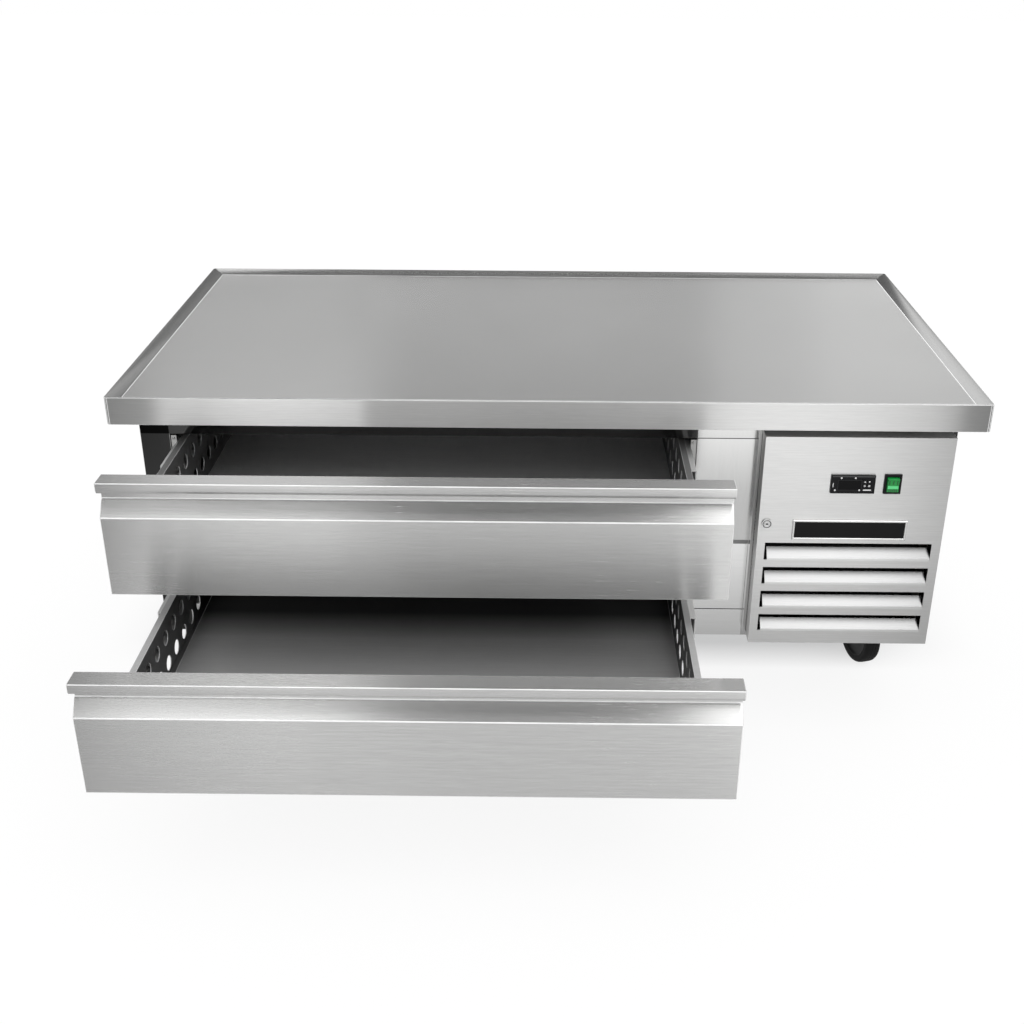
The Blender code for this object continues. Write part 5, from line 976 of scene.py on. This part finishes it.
def add_guard(bm, middle, axis, radii, reach, foot):
    """Wire rings on spokes, whose ends turn back to a plate at a distance behind."""
    stand = aimed(middle, axis)
    for radius in radii:
        add_ring(bm, [(radius + x, y) for x, y in circle(GUARD_WIRE, 8)], stand, GUARD_SIDES)
    for spoke in range(SPOKES):
        angle = math.tau * (spoke + 0.5) / SPOKES
        out = Vector((math.cos(angle), math.sin(angle), 0.0))
        ends = (SPOKE_START * radii[0] * out, reach * out, reach * out + Vector((0, 0, foot)))
        add_tube(bm, rounded_path([stand @ end for end in ends], GUARD_BEND), GUARD_WIRE, 8)


def make_fan_guards():
    fan = middle_of("condenser_fan")
    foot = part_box("condenser_shroud")[1][1] - CONDENSER_GUARD_Y
    make("condenser_fan_guard", "zinc", "cabinet",
         (add_guard, (fan.x, CONDENSER_GUARD_Y, fan.z), TO_BACK, CONDENSER_GUARD, CONDENSER_REACH, foot))
    make("condenser_fan_nut", "zinc", "condenser_fan",
         (add_hex, (fan.x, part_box("condenser_fan")[0][1], fan.z), TO_FRONT, *FAN_NUT))
    fan = middle_of("evaporator_fan")
    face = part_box("evaporator_shroud")[0][0] - EVAPORATOR_STAND
    make("evaporator_fan_guard", "zinc", "cabinet",
         (add_guard, (face, fan.y, fan.z), TO_LEFT, EVAPORATOR_GUARD, EVAPORATOR_REACH, -EVAPORATOR_STAND))


# The grille before the condenser coil, and its clips, which show between the louvres; the clips are white as a painted
# glint

GRILLE_WIRE = 0.0014
GRILLE_PITCH = 0.0075
GRILLE_GAP = 0.0022
CLIP_LOW = (-0.0005, -0.0022, -0.0016)
CLIP_HIGH = (0.018, 0.0006, 0.0016)


def make_coil_guard():
    low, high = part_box("condenser_coil")
    y = low[1] - GRILLE_GAP
    levels = [low[2] + row * GRILLE_PITCH for row in range(1, int((high[2] - low[2]) / GRILLE_PITCH))]
    make("condenser_coil_grille", "enamel", "cabinet", *[
        (add_tube, [(low[0], y, z), (high[0], y, z)], GRILLE_WIRE, 6) for z in levels])
    # The clips are white: a painted glint between the louvres
    make("condenser_grille_clips", "mark", "cabinet", *[
        (add_slab, *(tuple(map(sum, zip((low[0], y, z), corner))) for corner in (CLIP_LOW, CLIP_HIGH)))
        for z in levels], bevel=0.0004)


# Compressor: terminal cover, foot grommets and their bolts

FOOT_X = 0.083
FOOT_Y = 0.063
FOOT_RISE = 0.006
GROMMET_SECTION = ((0.0045, 0.0), (0.01, 0.0), (0.0108, 0.0012), (0.009, 0.0024), (0.0098, 0.004),
                   (0.0045, 0.004))
SHELL_REACH = 0.078
FOOT_BOLT = (0.01, 0.007)
# The terminal cover stands out from the shell by the first depth and goes into it by the second
TERMINAL_DEPTHS = (0.018, 0.012)
TERMINAL_HALF = 0.025
TERMINAL_RUN = (0.232, 0.276)
COVER_CLIP_X = 0.019
COVER_CLIP_RUN = (0.226, 0.28, 0.285)


def make_compressor_fittings():
    middle = middle_of("compressor")
    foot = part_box("compressor")[0][2] + FOOT_RISE
    feet = [Vector((middle.x + across, middle.y + along, foot))
            for across in (-FOOT_X, FOOT_X) for along in (-FOOT_Y, FOOT_Y)]
    make("compressor_grommets", "rubber", "cabinet", *[
        (add_ring, GROMMET_SECTION, aimed(place, UP), 24) for place in feet])
    make("compressor_bolts", "zinc", "cabinet", *[
        (add_hex, place + Vector((0, 0, GROMMET_SECTION[-1][1])), UP, *FOOT_BOLT) for place in feet])
    shell = middle.y - SHELL_REACH
    front = shell - TERMINAL_DEPTHS[0]
    make("compressor_terminal_cover", "plastic", "cabinet",
         (add_slab, (middle.x - TERMINAL_HALF, front, TERMINAL_RUN[0]),
          (middle.x + TERMINAL_HALF, shell + TERMINAL_DEPTHS[1], TERMINAL_RUN[1])), bevel=0.003)
    x, depths = middle.x - COVER_CLIP_X, (front - 0.0015, front - 0.0015, shell + 0.004)
    clip = rounded_path([(x, y, z) for y, z in zip(depths, COVER_CLIP_RUN)], 0.004)
    make("compressor_cover_clip", "zinc", "cabinet", (add_tube, clip, 0.001, 8))


# Pipes: hot gas to the condenser, liquid through a drier to the cabinet wall, cold gas back in its sleeve

PIPE_RADIUS = 0.004
PIPE_BEND = 0.02
WALL_X = 0.3697
PIPE_LINES = (
    ((0.615, 0.43, 0.3), (0.69, 0.43, 0.3), (0.708, 0.4, 0.4), (0.708, -0.077, 0.4),
     (0.6966, -0.077, 0.4)),
    ((0.6966, -0.077, 0.212), (0.708, -0.077, 0.212), (0.708, 0.07, 0.212)),
    ((0.708, 0.19, 0.212), (0.708, 0.28, 0.212), (0.708, 0.28, 0.47), (WALL_X, 0.28, 0.47)),
    ((0.472, 0.45, 0.33), (0.425, 0.45, 0.33), (0.425, 0.45, 0.4), (WALL_X, 0.45, 0.4)),
    ((0.5434, 0.525, 0.33), (0.5434, 0.56, 0.33), (0.5434, 0.56, 0.385)),
)
SLEEVE_LINE = ((0.425, 0.45, 0.35), (0.425, 0.45, 0.4), (WALL_X, 0.45, 0.4))
SLEEVE_RADIUS = 0.0105
DRIER_PLACE = (0.708, 0.13, 0.212)
DRIER_SECTION = mirrored(((0.0038, -0.062), (0.006, -0.056), (0.0115, -0.046), (0.012, -0.04)))


def make_pipes():
    make("refrigerant_pipes", "copper", "cabinet",
         *[(add_tube, rounded_path(line, PIPE_BEND), PIPE_RADIUS) for line in PIPE_LINES],
         (add_turned, DRIER_SECTION, aimed(DRIER_PLACE, TO_BACK), 24))
    make("cold_pipe_sleeve", "rubber", "cabinet", (add_tube, rounded_path(SLEEVE_LINE, PIPE_BEND), SLEEVE_RADIUS, 16))


# Control box on the tray, with its lid, screws and wires

CONTROL_BOX = ((0.387, 0.1, 0.1818), (0.44, 0.24, 0.295))
LID_OVER = 0.0012
LID_DEPTH = 0.01
LID_SCREW = 0.003
LID_SCREW_INSET = 0.008
WIRE_RADIUS = 0.0026
WIRE_BEND = 0.015
CONTROL_WIRES = (
    ((0.438, 0.2, 0.25), (0.49, 0.2, 0.25), (0.543, 0.29, 0.25), (0.543, 0.356, 0.25)),
    ((0.438, 0.188, 0.25), (0.492, 0.188, 0.25), (0.549, 0.288, 0.258), (0.549, 0.356, 0.258)),
    ((0.438, 0.14, 0.27), (0.5, 0.14, 0.3165), (0.5434, 0.11, 0.3165), (0.5434, 0.0525, 0.3165)),
)


def make_control_box():
    low, high = CONTROL_BOX
    rim = high[2] - LID_DEPTH
    make("control_box", "plastic", "cabinet", (add_slab, low, (high[0], high[1], rim)), bevel=0.002)
    make("control_box_lid", "cap", "cabinet",
         (add_slab, (low[0] - LID_OVER, low[1] - LID_OVER, rim), (high[0] + LID_OVER, high[1] + LID_OVER, high[2])),
         bevel=0.0015)
    make("control_box_screws", "zinc", "cabinet", *[
        (add_screw, (x, y, high[2]), UP, LID_SCREW)
        for x in (low[0] + LID_SCREW_INSET, high[0] - LID_SCREW_INSET)
        for y in (low[1] + LID_SCREW_INSET, high[1] - LID_SCREW_INSET)])
    make("control_wires", "wire", "cabinet", *[
        (add_tube, rounded_path(wire, WIRE_BEND), WIRE_RADIUS, 10) for wire in CONTROL_WIRES])


# Wires between the backs of the controller and the switch

LOOM_LEVELS = (0.518, 0.524, 0.53)
LOOM_DEPTH = 0.008
LOOM_BEND = 0.006
LOOM_RADIUS = 0.0016
LOOM_END = 0.001


def make_panel_loom():
    housings = ("controller_housing", "switch_housing")
    start, end = (front_middle(housing)[0] for housing in housings)
    back, switch_back = (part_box(housing)[1][1] for housing in housings)
    places = ((start, back - LOOM_END), (start, back + LOOM_DEPTH), (end, back + LOOM_DEPTH),
              (end, switch_back - LOOM_END))
    make("panel_wires", "wire", "panel", *[
        (add_tube, rounded_path([(x, y, z) for x, y in places], LOOM_BEND), LOOM_RADIUS, 8) for z in LOOM_LEVELS])


# Screws that hold the tray of the condensing unit

TRAY_SCREW = 0.0042
TRAY_SCREW_INSET = 0.014
TRAY_SHEET = 0.0031
TRAY_SCREW_PLACES = (0.0, 0.29)


def make_tray_screws():
    low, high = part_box("condensing_unit_base")
    make("tray_screws", "zinc", "cabinet", *[
        (add_screw, (x, y, low[2] + TRAY_SHEET), UP, TRAY_SCREW)
        for x in (low[0] + TRAY_SCREW_INSET, high[0] - TRAY_SCREW_INSET)
        for y in (*TRAY_SCREW_PLACES, high[1] - TRAY_SCREW_INSET)])


def make_pieces():
    for level in ("upper", "lower"):
        make_gasket(level)
    for corner in CORNERS:
        make_caster(corner)
    make_controller()
    make_rocker()
    make_lock()
    make_plate_border()
    make_frame_covers()
    make_back_screws()
    for level in ("upper", "lower"):
        for side in ("left", "right"):
            make_slide_bracket(level, side)
    make_fan_guards()
    make_vanes()
    make_coil_guard()
    make_compressor_fittings()
    make_pipes()
    make_control_box()
    make_panel_loom()
    make_tray_screws()


# Stage: the share of the floor that shows plain white, and the light of the room

FLOOR_HALF = 14.0
FLOOR_WHITE = (0.97, 0.97, 0.97, 1.0)
FLOOR_SHOW = 0.9
# Under the cabinet more of its shadow shows: it comes in and goes out between these distances from front to back,
# and goes out between these from the middle to either side
SHADE_SHOW = 0.45
SHADE_IN = (0.04, 0.14)
SHADE_OUT = (0.62, 0.8)
SHADE_SIDES = (0.7, 0.95)
WHITE = (1.0, 1.0, 1.0, 1.0)
# The room's plain light at the horizon and overhead, and the heights of a direction between which it rises
ROOM_LIGHT = (0.34, 0.86)
ROOM_RISE = (0.0, 0.8)
SUN_LIGHT = 1.35
SUN_SPREAD = math.radians(70.0)
SUN_LEAN = (math.radians(18.0), math.radians(6.0), 0.0)
# How bright the studio is in reflections, against how far a direction leans to the side. Places run from 0, all the
# way to the left, to 1, all the way to the right: two white screens in front with a gap between.
FLOOR_STUDIO = ((0.0, 0.22), (0.09, 0.26), (0.116, 0.37), (0.142, 0.75), (0.166, 1.1), (0.2, 1.35),
                (0.315, 1.35), (0.345, 0.92), (0.365, 0.92), (0.42, 1.0), (0.5, 1.08), (0.6, 1.1),
                (0.64, 1.35), (0.665, 1.5), (0.77, 1.36), (0.815, 1.1), (0.845, 0.8), (0.875, 0.48),
                (1.0, 0.22))
# Its contrast about a level, from one distance to a nearer one
FLOOR_CONTRAST = (-1.75, -1.15, 1.0, 0.05)
FLOOR_LEVEL = 0.755
FLOOR_BEHIND = 0.8
# A place on the floor leans by its x over its distance from a line behind, and the studio spans a lean to either side
FAN_BEHIND = 1.5
FAN_LEAST = 0.1
FAN_LEAN = 0.5
# Toward the cabinet the floor's studio dims, between two distances and two shares, and then gives way to one level
FLOOR_DIMMING = (-0.85, -0.4, 1.0, 0.5)
FLOOR_TO_BEHIND = (-0.2, 0.6)


def make_floor():
    """A white floor that shows as white and still takes the object's shadow."""
    bm = bmesh.new()
    bmesh.ops.create_grid(bm, x_segments=1, y_segments=1, size=FLOOR_HALF)
    mesh = bpy.data.meshes.new("floor")
    bm.to_mesh(mesh)
    bm.free()
    floor = placed("floor", mesh)
    material = bpy.data.materials.new("studio_floor")
    material.use_nodes = True
    graph = Graph(material.node_tree)
    out = material.node_tree.nodes["Material Output"]
    material.node_tree.nodes.remove(material.node_tree.nodes["Principled BSDF"])
    rays = graph.add("ShaderNodeLightPath")
    x, y, _ = graph.parts(graph.add("ShaderNodeTexCoord").outputs["Object"])
    sideways = graph.math("DIVIDE", x, graph.larger(graph.minus(FAN_BEHIND, y), FAN_LEAST))
    studio = graph.steps(graph.ramp(sideways, -FAN_LEAN, FAN_LEAN), FLOOR_STUDIO)
    crisp = graph.ramp(y, *FLOOR_CONTRAST)
    studio = graph.plus(FLOOR_LEVEL, graph.times(crisp, graph.minus(studio, FLOOR_LEVEL)))
    studio = graph.times(studio, graph.ramp(y, *FLOOR_DIMMING))
    studio = graph.blend(studio, FLOOR_BEHIND, y, FLOOR_TO_BEHIND)
    glossy = rays.outputs["Is Glossy Ray"]
    strength = graph.plus(graph.times(studio, glossy), graph.minus(1.0, glossy))
    plain = graph.larger(rays.outputs["Is Camera Ray"], rays.outputs["Is Transmission Ray"])
    under = graph.times(graph.ramp(y, *SHADE_IN), graph.ramp(y, *SHADE_OUT, 1.0, 0.0))
    under = graph.times(under, graph.ramp(graph.size(x), *SHADE_SIDES, 1.0, 0.0))
    show = graph.ramp(under, 0.0, 1.0, FLOOR_SHOW, SHADE_SHOW)
    seen = graph.plus(graph.times(plain, show), glossy)
    matt = graph.add("ShaderNodeBsdfDiffuse", {"Color": FLOOR_WHITE}).outputs[0]
    glow = graph.add("ShaderNodeEmission", {"Color": WHITE, "Strength": strength}).outputs[0]
    mix = graph.add("ShaderNodeMixShader", {0: seen, 1: matt, 2: glow})
    graph.link(mix.outputs[0], out.inputs["Surface"])
    mesh.materials.append(material)


# In front, at the horizon, at the height of the screens, and above them
LOW_STUDIO = ((0.0, 0.2), (0.335, 0.25), (0.352, 0.6), (0.366, 1.8), (0.38, 2.8), (0.43, 2.9),
              (0.44, 1.35), (0.5, 1.25), (0.555, 1.35), (0.562, 2.0), (0.62, 1.9), (0.64, 1.1), (0.655, 0.4),
              (1.0, 0.25))
FRONT_STUDIO = ((0.0, 0.4), (0.32, 0.5), (0.332, 1.9), (0.342, 3.2), (0.38, 2.3), (0.43, 2.1), (0.437, 0.5),
                (0.5, 0.4), (0.558, 0.42), (0.562, 1.9), (0.63, 1.9), (0.66, 0.6), (1.0, 0.5))
HIGH_STUDIO = ((0.0, 0.12), (0.325, 0.12), (0.36, 0.12), (0.43, 0.12), (0.437, 0.11), (0.5, 0.1),
               (0.558, 0.12), (0.562, 3.0), (0.63, 3.0), (0.66, 0.5), (1.0, 0.3))
# Behind, near the horizon and higher up
BACK_STUDIO = ((0.0, 0.12), (0.22, 0.14), (0.3, 0.22), (0.34, 0.22), (0.4, 0.24), (0.426, 0.3), (0.442, 1.12),
               (0.5, 1.26), (0.56, 1.2), (0.578, 1.16), (0.61, 1.4), (0.66, 1.44), (0.72, 1.1), (1.0, 0.9))
BACK_HIGH_STUDIO = ((0.0, 0.25), (0.3, 0.32), (0.332, 0.52), (0.35, 0.82), (0.37, 1.08), (0.428, 1.08),
                    (0.438, 0.12), (0.5, 0.04), (0.556, 0.05), (0.568, 0.42), (0.64, 0.44), (1.0, 0.4))
# The heights of a direction between which one gives way to the next
LOW_TO_FRONT = (0.3, 0.5)
FRONT_TO_HIGH = (0.64, 0.7)
BACK_TO_HIGH = (0.365, 0.425)
FRONT_TO_BACK = (-0.2, 0.2)
OVERHEAD = 2.0
TO_OVERHEAD = (0.93, 0.97)


def make_world():
    """A pale room: white where the camera sees it, and a studio of white screens in reflections."""
    world = bpy.data.worlds.new("studio")
    world.use_nodes = True
    bpy.context.scene.world = world
    graph = Graph(world.node_tree)
    background = world.node_tree.nodes["Background"]
    rays = graph.add("ShaderNodeLightPath")
    x, y, z = graph.parts(graph.add("ShaderNodeTexCoord").outputs["Generated"])
    sideways = graph.ramp(x, -1.0, 1.0)
    low, middle, high, back, back_high = (
        graph.steps(sideways, stops)
        for stops in (LOW_STUDIO, FRONT_STUDIO, HIGH_STUDIO, BACK_STUDIO, BACK_HIGH_STUDIO)
    )
    front = graph.blend(graph.blend(low, middle, z, LOW_TO_FRONT), high, z, FRONT_TO_HIGH)
    back = graph.blend(back, back_high, z, BACK_TO_HIGH)
    studio = graph.blend(graph.blend(front, back, y, FRONT_TO_BACK), OVERHEAD, z, TO_OVERHEAD)
    glossy = graph.times(rays.outputs["Is Glossy Ray"], studio)
    seen = graph.larger(rays.outputs["Is Camera Ray"], rays.outputs["Is Transmission Ray"])
    either = graph.larger(rays.outputs["Is Glossy Ray"], seen)
    room = graph.ramp(z, *ROOM_RISE, *ROOM_LIGHT)
    rest = graph.times(graph.minus(1.0, either), room)
    background.inputs["Color"].default_value = WHITE
    graph.link(graph.plus(graph.plus(glossy, seen), rest), background.inputs["Strength"])


def make_lights():
    """One broad soft light from overhead and in front; metal shows the room instead of it."""
    data = bpy.data.lights.new("overhead", "SUN")
    data.energy = SUN_LIGHT
    data.angle = SUN_SPREAD
    light = placed("overhead", data)
    light.rotation_euler = SUN_LEAN
    light.visible_glossy = False


make_camera()
make_floor()
make_world()
make_lights()
dress_nodes()
make_pieces()

bpy.context.scene.view_settings.view_transform = "Standard"
